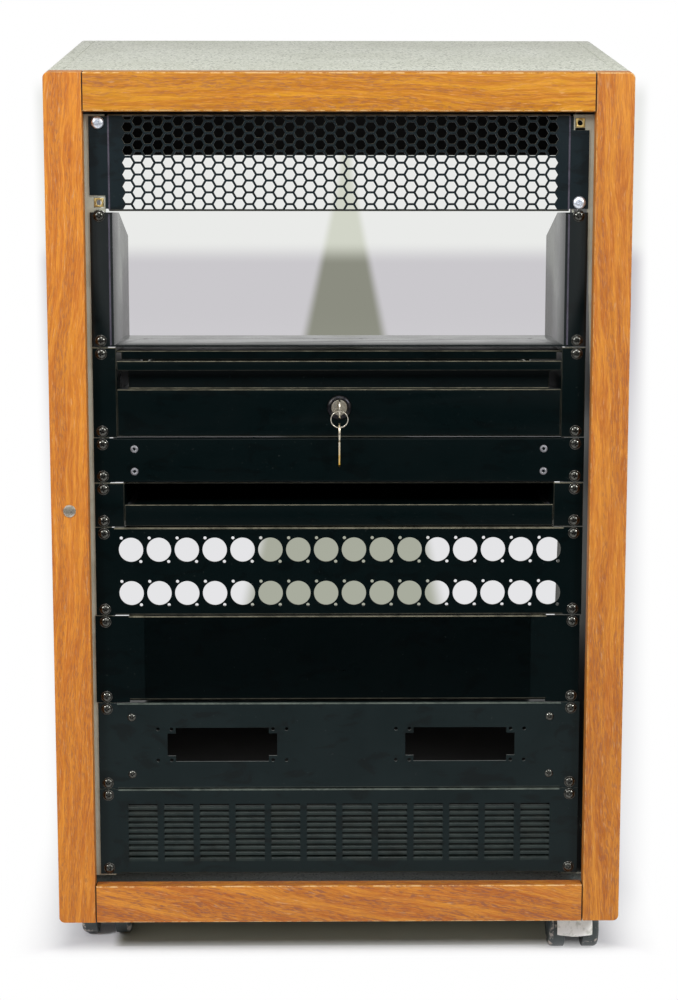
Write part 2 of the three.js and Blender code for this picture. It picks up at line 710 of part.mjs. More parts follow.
// The cam lock: a barrel with a bezel in the drawer's front, a cylinder that turns in it, a cam on
// the cylinder's tail, and the key in its slot.
function buildLock({ lockZ }) {
  const faceY = panelFront - seat;
  const barrelEnd = faceY + lockBarrelLength;
  const bore = lockCylinderRadius + lockClearance;
  const barrel = turnedY([
    [bore, faceY - lockBezelProud], [lockBezelRadius - lockBezelProud, faceY - lockBezelProud],
    [lockBezelRadius, faceY - lockBezelProud / 2], [lockBezelRadius, faceY],
    [lockBarrelRadius, faceY], [lockBarrelRadius, barrelEnd], [bore, barrelEnd], [bore, faceY - lockBezelProud],
  ], roundSides, [0, lockZ]);
  place(face, 'lock_barrel', barrel, greySteel);

  const cylinderFront = faceY - lockCylinderProud;
  const camFront = barrelEnd + seat;
  const slotHalf = keyThickness / 2 + lockClearance;
  const slotReach = keyBladeHeight / 2 + lockClearance;
  const cylinder = joined(
    solid(barY(lockCylinderRadius, cylinderFront, barrelEnd, [0, lockZ])),
    solid(barY(camHubRadius, barrelEnd - sheet, camFront + camHubLength, [0, lockZ], smallSides)),
  );
  place(face, 'lock_cylinder', cutFrom(cylinder, solid(block(
    [-slotHalf, slotHalf], [cylinderFront - cut, cylinderFront + keyBladeDepth + lockClearance],
    [lockZ - slotReach, lockZ + slotReach],
  ))), nickel);

  const camY = [camFront, camFront + camThickness];
  const camEnd = camLength - camWidth / 2;
  const cam = joined(
    solid(block([0, camEnd], camY, [lockZ - camWidth / 2, lockZ + camWidth / 2])),
    solid(barY(camWidth / 2, ...camY, [0, lockZ])),
    solid(barY(camWidth / 2, ...camY, [camEnd, lockZ])),
  );
  const hubHole = barY(camHubRadius + seat, camY[0] - cut, camY[1] + cut, [0, lockZ], smallSides);
  place(face, 'lock_cam', cutFrom(cam, solid(hubHole)), zinc);

  // The key is flat in the plane that the slot lies in, with its bow in front of the lock.
  const bowY = cylinderFront - keyNeck - keyBowRadius;
  const half = keyThickness / 2;
  const hole = { y: bowY - keyHoleOffset, z: lockZ };
  const bow = lateral(polygon(roundSides, keyBowRadius, [bowY, lockZ]), -half, half);
  const blade = block([-half, half], [bowY, cylinderFront + keyBladeDepth],
    [lockZ - keyBladeHeight / 2, lockZ + keyBladeHeight / 2]);
  const keyHole = barX(keyHoleRadius, -half - cut, half + cut, [hole.y, hole.z], smallSides);
  place(face, 'lock_key', cutFrom(joined(solid(bow), solid(blade)), solid(keyHole)), nickel);

  // The ring hangs plumb from the bow's hole, and the spare key from the ring. Both are drawn level
  // with the stand.
  const [holeY, holeZ] = onStand(hole.y, hole.z);
  const ringTop = holeZ - keyHoleRadius + 2 * ringWire + seat;
  const ringMiddle = ringTop - ringWire - ringRadius;
  const ring = new THREE.TorusGeometry(ringRadius, ringWire, 5, roundSides);
  place(stand, 'key_ring', ring.rotateX(Math.PI / 2).translate(0, holeY, ringMiddle), zinc);

  const seatZ = ringMiddle - ringRadius;
  const spareHoleZ = seatZ + ringWire + seat - keyHoleRadius;
  const spareBowZ = spareHoleZ - keyHoleOffset;
  const spareBow = lateral(polygon(roundSides, keyBowRadius, [holeY, spareBowZ]), -half, half);
  const spareBlade = block([-half, half], [holeY - spareBladeHeight / 2, holeY + spareBladeHeight / 2],
    [spareBowZ - keyBowRadius - spareBladeLength, spareBowZ]);
  const spareHole = barX(keyHoleRadius, -half - cut, half + cut, [holeY, spareHoleZ], smallSides);
  place(stand, 'spare_key', cutFrom(joined(solid(spareBow), solid(spareBlade)), solid(spareHole)), brass);
}

function buildBlankPanel() {
  place(face, 'blank_panel', foldedPanel(bays.blank), blackSteel);
}

function buildShelf() {
  const bay = bays.shelf;
  const back = panelFront + shelfHousingDepth;
  const inside = shelfHousingHalf - sheet;
  const housing = joined(
    ...ears(bay, inside).map(solid),
    solid(block([-shelfHousingHalf, -inside], [panelFront, back], [bay.bottom, bay.top])),
    solid(block([inside, shelfHousingHalf], [panelFront, back], [bay.bottom, bay.top])),
    solid(block([-inside, inside], [panelFront + shelfCoverSetback, back], [bay.top - sheet, bay.top])),
    solid(block([-inside, inside], [back - sheet, back], [bay.bottom, bay.top])),
    solid(block([-inside, inside], [back - drawerBridgeDepth, back], [bay.bottom, bay.bottom + sheet])),
  );
  place(face, 'shelf_housing', housing, blackSteel);

  const lipBottom = bay.bottom + sheet / 2;
  const lipTop = lipBottom + shelfLipHeight;
  const floorHalf = inside - slideGap + shelfFloorInset;
  const rimHalf = inside - slideGap;
  const end = panelFront + shelfDepth;
  const shelf = joined(
    solid(block([-shelfTrayHalf, shelfTrayHalf], [panelFront, oakThickness], [lipBottom, lipTop])),
    solid(block([-floorHalf, floorHalf], [panelFront, end], [lipTop - sheet, lipTop])),
    solid(block([-rimHalf, -rimHalf + sheet], [panelFront, end], [lipBottom + sheet * 2, lipTop - sheet / 2])),
    solid(block([rimHalf - sheet, rimHalf], [panelFront, end], [lipBottom + sheet * 2, lipTop - sheet / 2])),
  );
  place(face, 'sliding_shelf', shelf, blackSteel);

  const start = oakThickness + slideEndInset;
  for (const side of [-1, 1]) {
    slidePair('shelf', side, inside, rimHalf, shelfSlideHeight,
      lipTop - sheet - shelfSlideDrop - shelfSlideHeight / 2 + sheet, start, shelfDepth - 2 * slideEndInset);
  }
}

function buildPatchPanel() {
  const bay = bays.patch;
  const patchColumns = Math.floor((2 * bodyHalf) / patchPitch);
  const first = -((patchColumns - 1) / 2) * patchPitch;
  const holes = [];
  for (let column = 0; column < patchColumns; column += 1) {
    for (const row of [1, -1]) {
      holes.push(polygon(patchHoleSides, patchHoleRadius,
        [first + column * patchPitch, bay.middle + row * patchRowOffset], Math.PI / patchHoleSides));
    }
  }
  place(face, 'patch_panel', pierce(foldedPanel(bay), holes), blackSteel);
}

// The recessed box: its flat ears reach lower than its folded body. It's screwed on a little to the
// left, in the play of its slots.
function buildVentBox() {
  const bay = bays.ventBox;
  const back = panelFront + ventBoxDepth;
  const half = ventBoxOpeningHalf;
  const outerHalf = half + sheet;
  const low = bay.bottom + ventBoxRise;
  const box = block([-outerHalf, outerHalf], [panelFront, back], [low, bay.top]);
  const hollow = block([-half, half], [panelFront - cut, back - sheet], [low + sheet, bay.top - sheet]);
  const ventSlotCount = Math.floor((2 * half) / ventSlotPitch);
  const first = -((ventSlotCount - 1) / 2) * ventSlotPitch;
  const slots = Array.from({ length: ventSlotCount }, (_, i) => {
    const x = first + i * ventSlotPitch;
    const start = panelFront + ventSlotStart;
    return block([x - ventSlotWidth / 2, x + ventSlotWidth / 2], [start, start + ventSlotLength],
      [low - cut, low + sheet + cut]);
  });
  const shell = joined(
    solid(foldedBody({ top: bay.top, bottom: low }, ventBoxFoldHalf)),
    ...ears(bay, ventBoxFoldHalf - sheet).map(solid),
    solid(box),
  );
  const made = cutFrom(shell, solid(hollow), solid(mergeGeometries(slots)));
  place(face, 'vent_box', made.translate([-ventBoxShift, 0, 0]), blackSteel);
}

function buildConnectorPanel() {
  const bay = bays.connector;
  const [w, h, a, b] = [cutoutWide / 2, cutoutWideHeight / 2, cutoutTall / 2, cutoutTallHeight / 2];
  const stepped = (x, z) => outline([
    [x - w, z - h], [x - a, z - h], [x - a, z - b], [x + a, z - b], [x + a, z - h], [x + w, z - h],
    [x + w, z + h], [x + a, z + h], [x + a, z + b], [x - a, z + b], [x - a, z + h], [x - w, z + h],
  ]);
  const cutouts = [-1, 1].map((side) => stepped(side * cutoutOffset, bay.middle));
  place(face, 'connector_panel', pierce(foldedPanel(bay), cutouts), greySteel);
}

function buildSlotVentPanel() {
  const bay = bays.slotVent;
  const slotColumns = Math.floor((2 * bodyHalf) / slotColumnPitch);
  const slotRows = Math.floor((bay.top - bay.bottom - 2 * slotMargin) / slotRowPitch);
  const firstX = -((slotColumns - 1) / 2) * slotColumnPitch;
  const firstZ = bay.middle - ((slotRows - 1) / 2) * slotRowPitch;
  const [w, h] = [slotLength / 2, slotHeight / 2];
  const slots = [];
  for (let column = 0; column < slotColumns; column += 1) {
    for (let row = 0; row < slotRows; row += 1) {
      const [x, z] = [firstX + column * slotColumnPitch, firstZ + row * slotRowPitch];
      slots.push(outline([[x - w, z - h], [x + w, z - h], [x + w, z + h], [x - w, z + h]]));
    }
  }
  place(face, 'slotted_vent_panel', pierce(foldedPanel(bay), slots), blackSteel);
}

// A twin-wheel caster, drawn about its swivel axis and the floor: a plate with a stem, a hooded body
// that swivels on the stem, and two wheels on the body's axle. `turned` swivels it half a turn.
function buildCaster(label, x, y, turned = false) {
  const caster = new THREE.Group();
  caster.position.set(x, y, 0);
  caster.rotation.z = turned ? Math.PI : 0;
  stand.add(caster);
  const plateTop = casterHeight - seat;
  const plateBottom = plateTop - casterPlateThickness;
  const halfPlate = casterPlateSize / 2;
  const stemEnd = plateBottom - casterStemLength;
  const stem = new THREE.CylinderGeometry(casterStemRadius, casterStemRadius,
    casterStemLength + casterPlateThickness, smallSides);
  stem.rotateX(Math.PI / 2).translate(0, 0, (stemEnd + plateTop) / 2);
  place(caster, `caster_plate_${label}`, joined(
    solid(block([-halfPlate, halfPlate], [-halfPlate, halfPlate], [plateBottom, plateTop])), solid(stem),
  ), zinc);

  const axleY = -casterTrail;
  const bodyTop = plateBottom - seat;
  const inner = wheelRadius + casterHoodGap;
  const outer = inner + casterHoodThickness;
  const arc = Array.from({ length: hoodSteps + 1 }, (_, i) => {
    const { start, end } = casterHoodArcShares;
    return Math.PI * (end - ((end - start) * i) / hoodSteps);
  });
  const at = (radius, t) => [axleY + radius * Math.cos(t), wheelRadius + radius * Math.sin(t)];
  const hood = outline([...arc.map((t) => at(inner, t)), ...[...arc].reverse().map((t) => at(outer, t))].reverse());
  const web = polygon(roundSides, wheelRadius * casterHubRadiusShare, [axleY, wheelRadius], Math.PI / roundSides);
  const boss = new THREE.CylinderGeometry(casterBossRadius, casterBossRadius, bodyTop - wheelRadius, roundSides);
  boss.rotateX(Math.PI / 2).translate(0, 0, (bodyTop + wheelRadius) / 2);
  const socketBottom = stemEnd - casterBossClearance;
  const socket = new THREE.CylinderGeometry(casterStemRadius + casterBossClearance,
    casterStemRadius + casterBossClearance, bodyTop - socketBottom + cut, smallSides);
  socket.rotateX(Math.PI / 2).translate(0, 0, (bodyTop + cut + socketBottom) / 2);
  const bridge = block([-casterHubHalf, casterHubHalf], [axleY, 0], [wheelRadius, wheelRadius + inner / 2]);
  const top = block([-casterHubHalf, casterHubHalf], [axleY, casterBossRadius / 2],
    [wheelRadius + inner / 2, bodyTop]);
  const axleHalf = casterHubHalf + wheelWidth - wheelCap;
  const body = cutFrom(joined(
    solid(lateral(hood, -casterHoodHalf, casterHoodHalf)),
    solid(lateral(web, -casterHubHalf, casterHubHalf)),
    solid(boss), solid(bridge), solid(top),
    solid(barX(axleRadius, -axleHalf, axleHalf, [axleY, wheelRadius], smallSides)),
  ), solid(socket));
  place(caster, `caster_body_${label}`, body, hoodPlastic);

  const pocket = wheelWidth - wheelCap;
  const wheel = [
    [0, pocket], [wheelBore, pocket], [wheelBore, 0], [wheelRadius, 0],
    [wheelRadius, wheelWidth - wheelChamfer], [wheelRadius - wheelChamfer, wheelWidth], [0, wheelWidth],
  ];
  const sides = turned ? [['left', 1], ['right', -1]] : [['left', -1], ['right', 1]];
  for (const [side, sign] of sides) {
    const disc = turnedY(wheel, wheelSides);
    disc.rotateZ(sign < 0 ? Math.PI / 2 : -Math.PI / 2);
    place(caster, `caster_${label}_wheel_${side}`,
      disc.translate(sign * (casterHubHalf + seat), axleY, wheelRadius), tyrePlastic);
  }
}

function buildCasters() {
  const x = halfWidth - casterInset;
  const [front, back] = [frontY + casterSetback, backY - casterSetback];
  // The photograph doesn't show this caster, so it trails back, out of its view.
  buildCaster('front_left', -x, front, true);
  buildCaster('front_right', x, front);
  buildCaster('rear_left', -x, back);
  buildCaster('rear_right', x, back);
}

buildCabinet();
buildOakFrame();
buildRackRails();
buildHexVentPanel();
buildOpenTray();
buildLock(buildDrawer());
buildBlankPanel();
buildShelf();
buildPatchPanel();
buildVentBox();
buildConnectorPanel();
buildSlotVentPanel();
buildCasters();

export default stand;
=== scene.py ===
"""Dresses the studio rack stand: oak front, speckled laminate, black steel panels, bright hardware."""

import json
from math import asin, cos, pi, radians, sin, sqrt, tan

import bmesh
import bpy
from mathutils import Matrix, Vector

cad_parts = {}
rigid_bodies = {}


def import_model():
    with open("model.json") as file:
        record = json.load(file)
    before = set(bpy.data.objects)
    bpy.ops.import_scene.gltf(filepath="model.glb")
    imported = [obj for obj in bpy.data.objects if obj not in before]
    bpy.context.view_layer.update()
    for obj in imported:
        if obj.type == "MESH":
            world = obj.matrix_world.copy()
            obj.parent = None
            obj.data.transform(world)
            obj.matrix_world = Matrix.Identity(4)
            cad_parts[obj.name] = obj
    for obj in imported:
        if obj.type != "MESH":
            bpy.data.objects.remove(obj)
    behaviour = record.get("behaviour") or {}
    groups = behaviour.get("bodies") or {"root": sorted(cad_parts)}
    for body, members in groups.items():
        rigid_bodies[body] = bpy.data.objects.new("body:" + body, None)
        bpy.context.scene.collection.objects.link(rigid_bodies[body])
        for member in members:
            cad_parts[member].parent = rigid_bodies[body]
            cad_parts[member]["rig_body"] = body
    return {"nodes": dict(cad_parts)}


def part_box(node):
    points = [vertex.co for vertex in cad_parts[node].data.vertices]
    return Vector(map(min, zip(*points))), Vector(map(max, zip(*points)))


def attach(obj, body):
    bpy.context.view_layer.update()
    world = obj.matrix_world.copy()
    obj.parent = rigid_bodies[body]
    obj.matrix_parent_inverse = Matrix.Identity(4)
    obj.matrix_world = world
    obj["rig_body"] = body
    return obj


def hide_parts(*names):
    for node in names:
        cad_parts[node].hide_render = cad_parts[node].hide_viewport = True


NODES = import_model()["nodes"]
SCENE = bpy.context.scene
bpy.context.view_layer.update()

MM = 0.001
TILT = radians(10)
IN_PLACE = Matrix.Identity(4)
FRONT_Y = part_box("oak_rail_bottom")[0].y
BOTTOM_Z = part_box("oak_rail_bottom")[0].z
# The leaning front's own axes: x across, y inwards from the oak's front face, z up that face.
FACE = Matrix.Translation((0, FRONT_Y, BOTTOM_Z)) @ Matrix.Rotation(-TILT, 4, "X")


def mm(*values):
    return [value * MM for value in values]


def move(x, y, z):
    return Matrix.Translation((x, y, z))


def face_box(node):
    """A solid's lowest and highest corners along the leaning front's axes."""
    points = [FACE.inverted() @ vertex.co for vertex in NODES[node].data.vertices]
    return [Vector([pick(point[i] for point in points) for i in range(3)]) for pick in (min, max)]


# Rack standard and sheet metal
UNIT = 44.45 * MM
HOLE_X = 232.55 * MM
FIRST_HOLE = 6.35 * MM
HOLE_STEPS = (FIRST_HOLE, UNIT / 2, UNIT - FIRST_HOLE)
RAIL_OVERRUN = 1.5 * MM
RACK_TOP = face_box("rack_rail_left")[1].z - RAIL_OVERRUN
PANEL_Y = face_box("blank_panel")[0].y
PANEL_HALF = face_box("blank_panel")[1].x
SHEET = 1.6 * MM
BODY_HALF = 222.5 * MM
FOLD_RADIUS = 1.8 * MM
# The gap under the lock's collar
SEAT = 0.3 * MM
# What fills the rack from the top down, and how many units each takes
UNITS = (
    ("hex", 2), ("tray", 3), ("drawer", 2), ("blank", 1), ("shelf", 1), ("patch", 2), ("box", 2),
    ("connector", 2), ("slots", 2),
)
# Points that are closer than this are one point.
TINY = 0.0001 * MM
# A face whose normal has more than this of an axis counts as turned that way.
TIPPED = 0.25


# Node trees


def linear(colour):
    """A screen colour of three numbers, 0 to 255, as the light that it stands for."""
    shares = [v / 255 for v in colour]
    return (*[v / 12.92 if v <= 0.04045 else ((v + 0.055) / 1.055) ** 2.4 for v in shares], 1)


def shade(colour, share):
    """A colour made darker."""
    return tuple(v * share for v in colour)


class Tree:
    """A short way to write a material's nodes. An input is named, or numbered as i0, i1 and so on."""

    def __init__(self, name, world=None):
        self.owner = world or bpy.data.materials.new(name)
        self.owner.use_nodes = True
        self.nodes = self.owner.node_tree.nodes
        self.links = self.owner.node_tree.links
        self.shader = self.nodes["Background" if world else "Principled BSDF"]

    def put(self, socket, value):
        """Links or sets an input. Three numbers for a colour are a screen colour."""
        if isinstance(value, bpy.types.NodeSocket):
            self.links.new(value, socket)
        elif value is not None:
            of_screen = socket.type == "RGBA" and len(value) == 3
            socket.default_value = linear(value) if of_screen else value

    def node(self, kind, out=0, settings=None, **inputs):
        made = self.nodes.new("ShaderNode" + kind)
        for key, value in (settings or {}).items():
            setattr(made, key, value)
        for key, value in inputs.items():
            slot = int(key[1:]) if key[1:].isdigit() else key.replace("_", " ")
            self.put(made.inputs[slot], value)
        return made.outputs[out]

    def place(self, scale=(1, 1, 1)):
        return self.node("Mapping", Vector=self.node("TexCoord", out="Object"), Scale=scale)

    def parts(self, vector):
        split = self.node("SeparateXYZ", i0=vector).node
        return [split.outputs[i] for i in range(3)]

    def vector(self, x, y, z):
        return self.node("CombineXYZ", i0=x, i1=y, i2=z)

    def edge(self):
        """The share that the mesh helpers mark on faces. Above zero it is a pale edge colour, partly wear and
        partly painted highlight; below zero it is a dark joint on the oak and painted black shade on the
        steel.
        """
        return self.node("Attribute", out="Fac", settings={"attribute_name": "edge"})

    def noise(self, at, scale, detail, rough, distortion=0):
        """Noise with `scale` features to the metre."""
        return self.node(
            "TexNoise", Vector=at, Scale=scale, Detail=detail, Roughness=rough, Distortion=distortion
        )

    def ramp(self, value, low, high, out_low=0.0, out_high=1.0):
        smooth = {"interpolation_type": "SMOOTHSTEP"}
        return self.node("MapRange", settings=smooth, i0=value, i1=low, i2=high, i3=out_low, i4=out_high)

    def math(self, operation, a, b=None, c=None):
        return self.node("Math", settings={"operation": operation}, i0=a, i1=b, i2=c)

    def times(self, a, b):
        return self.math("MULTIPLY", a, b)

    def plus(self, a, b):
        return self.math("ADD", a, b)

    def minus(self, a, b):
        return self.math("SUBTRACT", a, b)

    def mix(self, share, a, b):
        made = self.nodes.new("ShaderNodeMix")
        made.data_type = "RGBA"
        for socket, value in ((0, share), (6, a), (7, b)):
            self.put(made.inputs[socket], value)
        return made.outputs[2]

    def bump(self, height, strength, distance):
        return self.node("Bump", Height=height, Strength=strength, Distance=distance)

    def finish(self, **inputs):
        for key, value in inputs.items():
            self.put(self.shader.inputs[key.replace("_", " ")], value)
        return self.owner


# Materials


def oak(name, along, seed, slant, light, dark, pore_share=0.5):
    """Oiled oak: `along` is the grain's direction, Z up the stiles and X along the rails."""
    t = Tree(name)
    level = t.node("Mapping", Vector=t.node("TexCoord", out="Object"), Rotation=(TILT, 0, 0), Location=seed)
    x, y, z = t.parts(level)
    across, run = (x, z) if along == "Z" else (z, x)
    # The grain wanders, and runs a little across the board.
    slow = t.noise(t.vector(across, y, t.times(run, 0.30)), 13, 3, 0.55)
    fast = t.noise(t.vector(across, y, t.times(run, 0.45)), 70, 2, 0.5)
    across = t.plus(across, t.ramp(slow, 0.2, 0.8, -0.006, 0.006))
    across = t.plus(across, t.ramp(fast, 0.2, 0.8, -0.0007, 0.0007))
    across = t.plus(across, t.times(run, slant))

    def grain(stretch, scale, detail, rough):
        return t.noise(t.vector(across, y, t.times(run, stretch)), scale, detail, rough)

    band = grain(0.035, 95, 3, 0.6)
    early = t.ramp(band, 0.42, 0.60)
    streak = grain(0.05, 260, 4, 0.62)
    fibre = grain(0.06, 900, 3, 0.7)
    pore = grain(0.14, 1050, 2, 0.55)
    fleck = grain(0.12, 640, 2, 0.5)
    pores = t.times(t.ramp(pore, 0.52, 0.60), t.ramp(early, 0.0, 0.7, 0.35, 1.0))
    base = t.mix(t.ramp(slow, 0.3, 0.7), light, shade(light, 0.95))
    base = t.mix(t.ramp(streak, 0.36, 0.62, 0, 0.9), base, dark)
    base = t.mix(t.times(early, 0.5), base, shade(dark, 0.92))
    base = t.mix(t.ramp(fibre, 0.4, 0.7, 0, 0.35), base, (232, 160, 74))
    base = t.mix(t.times(pores, pore_share), base, (136, 86, 64))
    base = t.mix(t.ramp(fleck, 0.62, 0.74, 0, 0.3), base, (206, 168, 128))
    # Handled edges: pale bare wood where the corners are eased, and dirt beside it.
    edge = t.edge()
    chip = t.noise(t.place(), 95, 5, 0.72)
    worn = t.times(edge, t.ramp(chip, 0.44, 0.58))
    grime = t.times(edge, t.ramp(chip, 0.40, 0.32))
    base = t.mix(t.times(worn, 0.75), base, (224, 188, 132))
    base = t.mix(t.times(grime, 0.55), base, (112, 78, 44))
    # An edge below zero is a joint, dark with old oil.
    base = t.mix(t.times(edge, -1.0), base, (44, 26, 12))
    height = t.minus(t.times(fibre, 0.35), pores)
    return t.finish(
        Base_Color=base, Roughness=t.ramp(streak, 0.2, 0.8, 0.46, 0.60), Specular_IOR_Level=0.2,
        Normal=t.bump(height, 0.3, 0.00022),
    )


def laminate():
    """Speckled grey laminate, with painted black shade where it faces the inside of the cabinet and painted
    light in a pale strip on the bottom board.
    """
    t = Tree("speckled_laminate")
    at = t.place()
    tone = t.node("SeparateColor", i0=t.node("TexVoronoi", out="Color", Vector=at, Scale=520, Randomness=1.0))
    fine = t.noise(at, 780, 2, 0.6)
    broad = t.noise(at, 9, 3, 0.5)
    base = t.mix(t.ramp(fine, 0.35, 0.65), (184, 188, 173), (212, 214, 201))
    base = t.mix(t.ramp(tone.node.outputs[1], 0.84, 0.90), base, (138, 141, 128))
    base = t.mix(t.ramp(tone.node.outputs[2], 0.80, 0.86), base, (222, 222, 212))
    base = t.mix(t.ramp(broad, 0.3, 0.7, 0, 0.3), base, (182, 184, 168))
    edge = t.edge()
    worn = t.times(edge, t.ramp(t.noise(at, 150, 3, 0.6), 0.45, 0.6))
    base = t.mix(t.times(worn, 0.6), base, (128, 108, 86))
    x, y, z = t.parts(t.node("TexCoord", out="Object"))
    margin, shade_from, shade_to = mm(0.2, 35, 60)
    rail_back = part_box("oak_rail_bottom")[1].y
    across = t.math("LESS_THAN", t.math("ABSOLUTE", x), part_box("top_panel")[1].x + 2 * margin)
    under = t.math("LESS_THAN", z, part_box("top_panel")[0].z + margin)
    over = t.math("GREATER_THAN", z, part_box("bottom_panel")[1].z - margin)
    # Painted shade: the faces inside the cabinet, from a little behind the oak rail, are coloured black.
    painted_shade_depth = t.times(t.ramp(y, rail_back + shade_from, rail_back + shade_to), over)
    inside = t.times(across, t.times(under, painted_shade_depth))
    # Painted light: the bottom board is coloured pale and bluish in a strip behind the oak rail, for the
    # light that it catches there.
    painted_light_strip = t.times(across, t.times(over, t.ramp(y, rail_back + shade_to, rail_back)))
    base = t.mix(t.times(painted_light_strip, 0.8), base, (205, 230, 248))
    base = t.mix(inside, base, (20, 18, 16))
    height = t.plus(fine, t.times(tone, 0.5))
    return t.finish(
        Base_Color=base, Roughness=t.ramp(broad, 0.3, 0.7, 0.46, 0.56), Specular_IOR_Level=0.3,
        Normal=t.bump(height, 0.25, 0.00015),
    )


def steel(name, colour, worn=(128, 124, 106), rough=0.22, dust=0.25, gloss=0.25):
    """Powder-coated sheet steel: fine orange peel, a little dust, and a pale colour along the folds that is
    partly paint rubbed off and partly a painted highlight.
    """
    t = Tree(name)
    at = t.place()
    peel = t.noise(at, 1500, 2, 0.5)
    cloud = t.noise(at, 17, 5, 0.62)
    smear = t.ramp(t.noise(t.place((1, 1, 2.2)), 26, 5, 0.6, 0.8), 0.54, 0.62)
    speck = t.ramp(t.noise(at, 330, 2, 0.5), 0.70, 0.78)
    dusty = tuple(min(255, v + 10) for v in colour)
    base = t.mix(t.ramp(cloud, 0.35, 0.7, 0, dust), colour, dusty)
    base = t.mix(t.times(smear, 0.7), base, shade(colour, 0.55))
    base = t.mix(t.times(speck, 0.25), base, (60, 66, 64))
    edge = t.edge()
    # The pale edge colour: partly paint rubbed off, partly a painted highlight.
    rub_and_highlight = t.times(edge, t.ramp(t.noise(at, 75, 5, 0.7), 0.36, 0.60, 0.45, 1.0))
    base = t.mix(rub_and_highlight, base, worn)
    # Painted shade: an edge below zero is the unlit back of a blade, or the sheet behind the blades, and is
    # coloured black.
    base = t.mix(t.times(edge, -1.0), base, (0, 0, 0, 1))
    return t.finish(
        Base_Color=base, Roughness=t.ramp(cloud, 0.3, 0.7, rough - 0.03, rough + 0.05),
        Specular_IOR_Level=gloss, Normal=t.bump(peel, 0.12, 0.0001),
    )


def metal(name, colour, rough, tarnish, scale=200, metallic=1.0):
    """Bare or plated metal: cloudy tarnish, and roughness that follows it."""
    t = Tree(name)
    at = t.place()
    cloud = t.noise(at, scale, 4, 0.6)
    brushed = t.noise(t.place((1, 1, 0.05)), 2500, 2, 0.6)
    base = t.mix(t.ramp(cloud, 0.42, 0.66, 0, 0.8), colour, tarnish)
    return t.finish(
        Base_Color=base, Metallic=metallic, Roughness=t.ramp(cloud, 0.3, 0.7, rough, rough + 0.14),
        Normal=t.bump(brushed, 0.12, 0.00005),
    )


def plastic(name, colour, scuffed, rough=0.5, scuffs=(0.50, 0.62)):
    """Moulded plastic with scuffs of another colour."""
    t = Tree(name)
    at = t.place()
    cloud = t.noise(at, 90, 5, 0.65)
    grit = t.noise(at, 1200, 2, 0.5)
    edge = t.edge()
    marks = t.math("MAXIMUM", t.ramp(cloud, *scuffs), t.times(edge, t.ramp(cloud, 0.50, 0.60)))
    base = t.mix(marks, colour, scuffed)
    return t.finish(
        Base_Color=base, Roughness=t.ramp(cloud, 0.3, 0.7, rough - 0.08, rough + 0.12),
        Normal=t.bump(grit, 0.15, 0.0001),
    )


OAK_UP_LEFT = oak("oak_up_left", "Z", (0.13, 0.02, 0.3), -0.05, (208, 132, 42), (176, 98, 32))
OAK_UP_RIGHT = oak("oak_up_right", "Z", (0.52, 0.03, 0.9), 0.03, (199, 128, 45), (168, 94, 34))
OAK_TOP = oak("oak_across_top", "X", (0.21, 0.01, 0.12), 0.02, (200, 137, 28), (170, 102, 20))
OAK_BOTTOM = oak("oak_across_bottom", "X", (0.81, 0.05, 0.37), 0.16, (201, 130, 45), (166, 90, 36), 0.8)
LAMINATE = laminate()
BLACK_BOARD = steel("black_painted_board", (22, 20, 18), (60, 52, 44), 0.6)
BLACK = steel("black_powder_coat", (2, 10, 11), rough=0.3, dust=0.0, gloss=0.06)
TRAY_BLACK = steel("glossy_black_powder_coat", (2, 10, 11), gloss=0.28)
# Lighter copies of the black coat as painted reflection: of light from above on the hex panel, and of the
# floor on the two lowest panels.
BLACK_PAINTED_TOP_REFLECTION = steel("black_coat_painted_top_reflection", (13, 24, 28), rough=0.3, gloss=0.18)
# Painted highlight for the creases at the panels' bends.
CREASE_HIGHLIGHT = steel("crease_painted_highlight", (50, 49, 58), (94, 90, 102))
BLACK_PAINTED_FLOOR_REFLECTION = steel("black_coat_painted_floor_reflection", (9, 21, 22), (96, 104, 96), 0.34, gloss=0.18)
RAIL = metal("plated_rail_steel", (178, 180, 166), 0.46, (156, 156, 140), 30, 0.6)
ZINC = metal("bright_zinc", (226, 232, 240), 0.24, (190, 198, 210), 200, 0.8)
SLIDE_ZINC = metal("dull_slide_zinc", (120, 124, 130), 0.45, (90, 94, 100), 200, 0.5)
YELLOW_ZINC = metal("yellow_zinc", (222, 196, 130), 0.28, (150, 118, 62))
BLACK_NICKEL = metal("black_nickel", (90, 90, 86), 0.15, (46, 46, 42), 400)
RIVET_STEEL = metal("rivet_steel", (124, 124, 128), 0.4, (96, 96, 100), 400, 0.4)
PRIMER = plastic("red_primer", (120, 54, 40), (80, 44, 36))
NICKEL = metal("nickel", (206, 200, 186), 0.22, (150, 142, 124), 300)
LOCK_BLACK = metal("dark_lock_body", (34, 34, 38), 0.26, (60, 58, 56), 300)
HOOD = plastic("grey_hood_plastic", (246, 247, 242), (214, 216, 208))
TREAD = plastic("dark_tread_plastic", (46, 54, 54), (158, 150, 142), 0.45, (0.60, 0.70))


# Mesh helpers


def add_object(name, data):
    obj = bpy.data.objects.new(name, data)
    SCENE.collection.objects.link(obj)
    return obj


def finish_piece(obj, body, *nodes):
    """A piece rides on its body and stands for its solids."""
    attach(obj, body)
    if nodes:
        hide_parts(*nodes)


def weld(bm):
    """Joins the points that lie on one another, and turns the faces outwards."""
    bmesh.ops.remove_doubles(bm, verts=bm.verts, dist=TINY)
    bmesh.ops.recalc_face_normals(bm, faces=bm.faces)


def mesh_from(bm, name, *materials):
    """Ends a bmesh as a mesh."""
    mesh = bpy.data.meshes.new(name)
    bm.to_mesh(mesh)
    bm.free()
    for material in materials:
        mesh.materials.append(material)
    return mesh


def from_bmesh(name, bm, material, matrix, smooth):
    weld(bm)
    mesh = mesh_from(bm, name, material)
    mesh.transform(matrix)
    soften(mesh, smooth)
    return add_object(name, mesh)


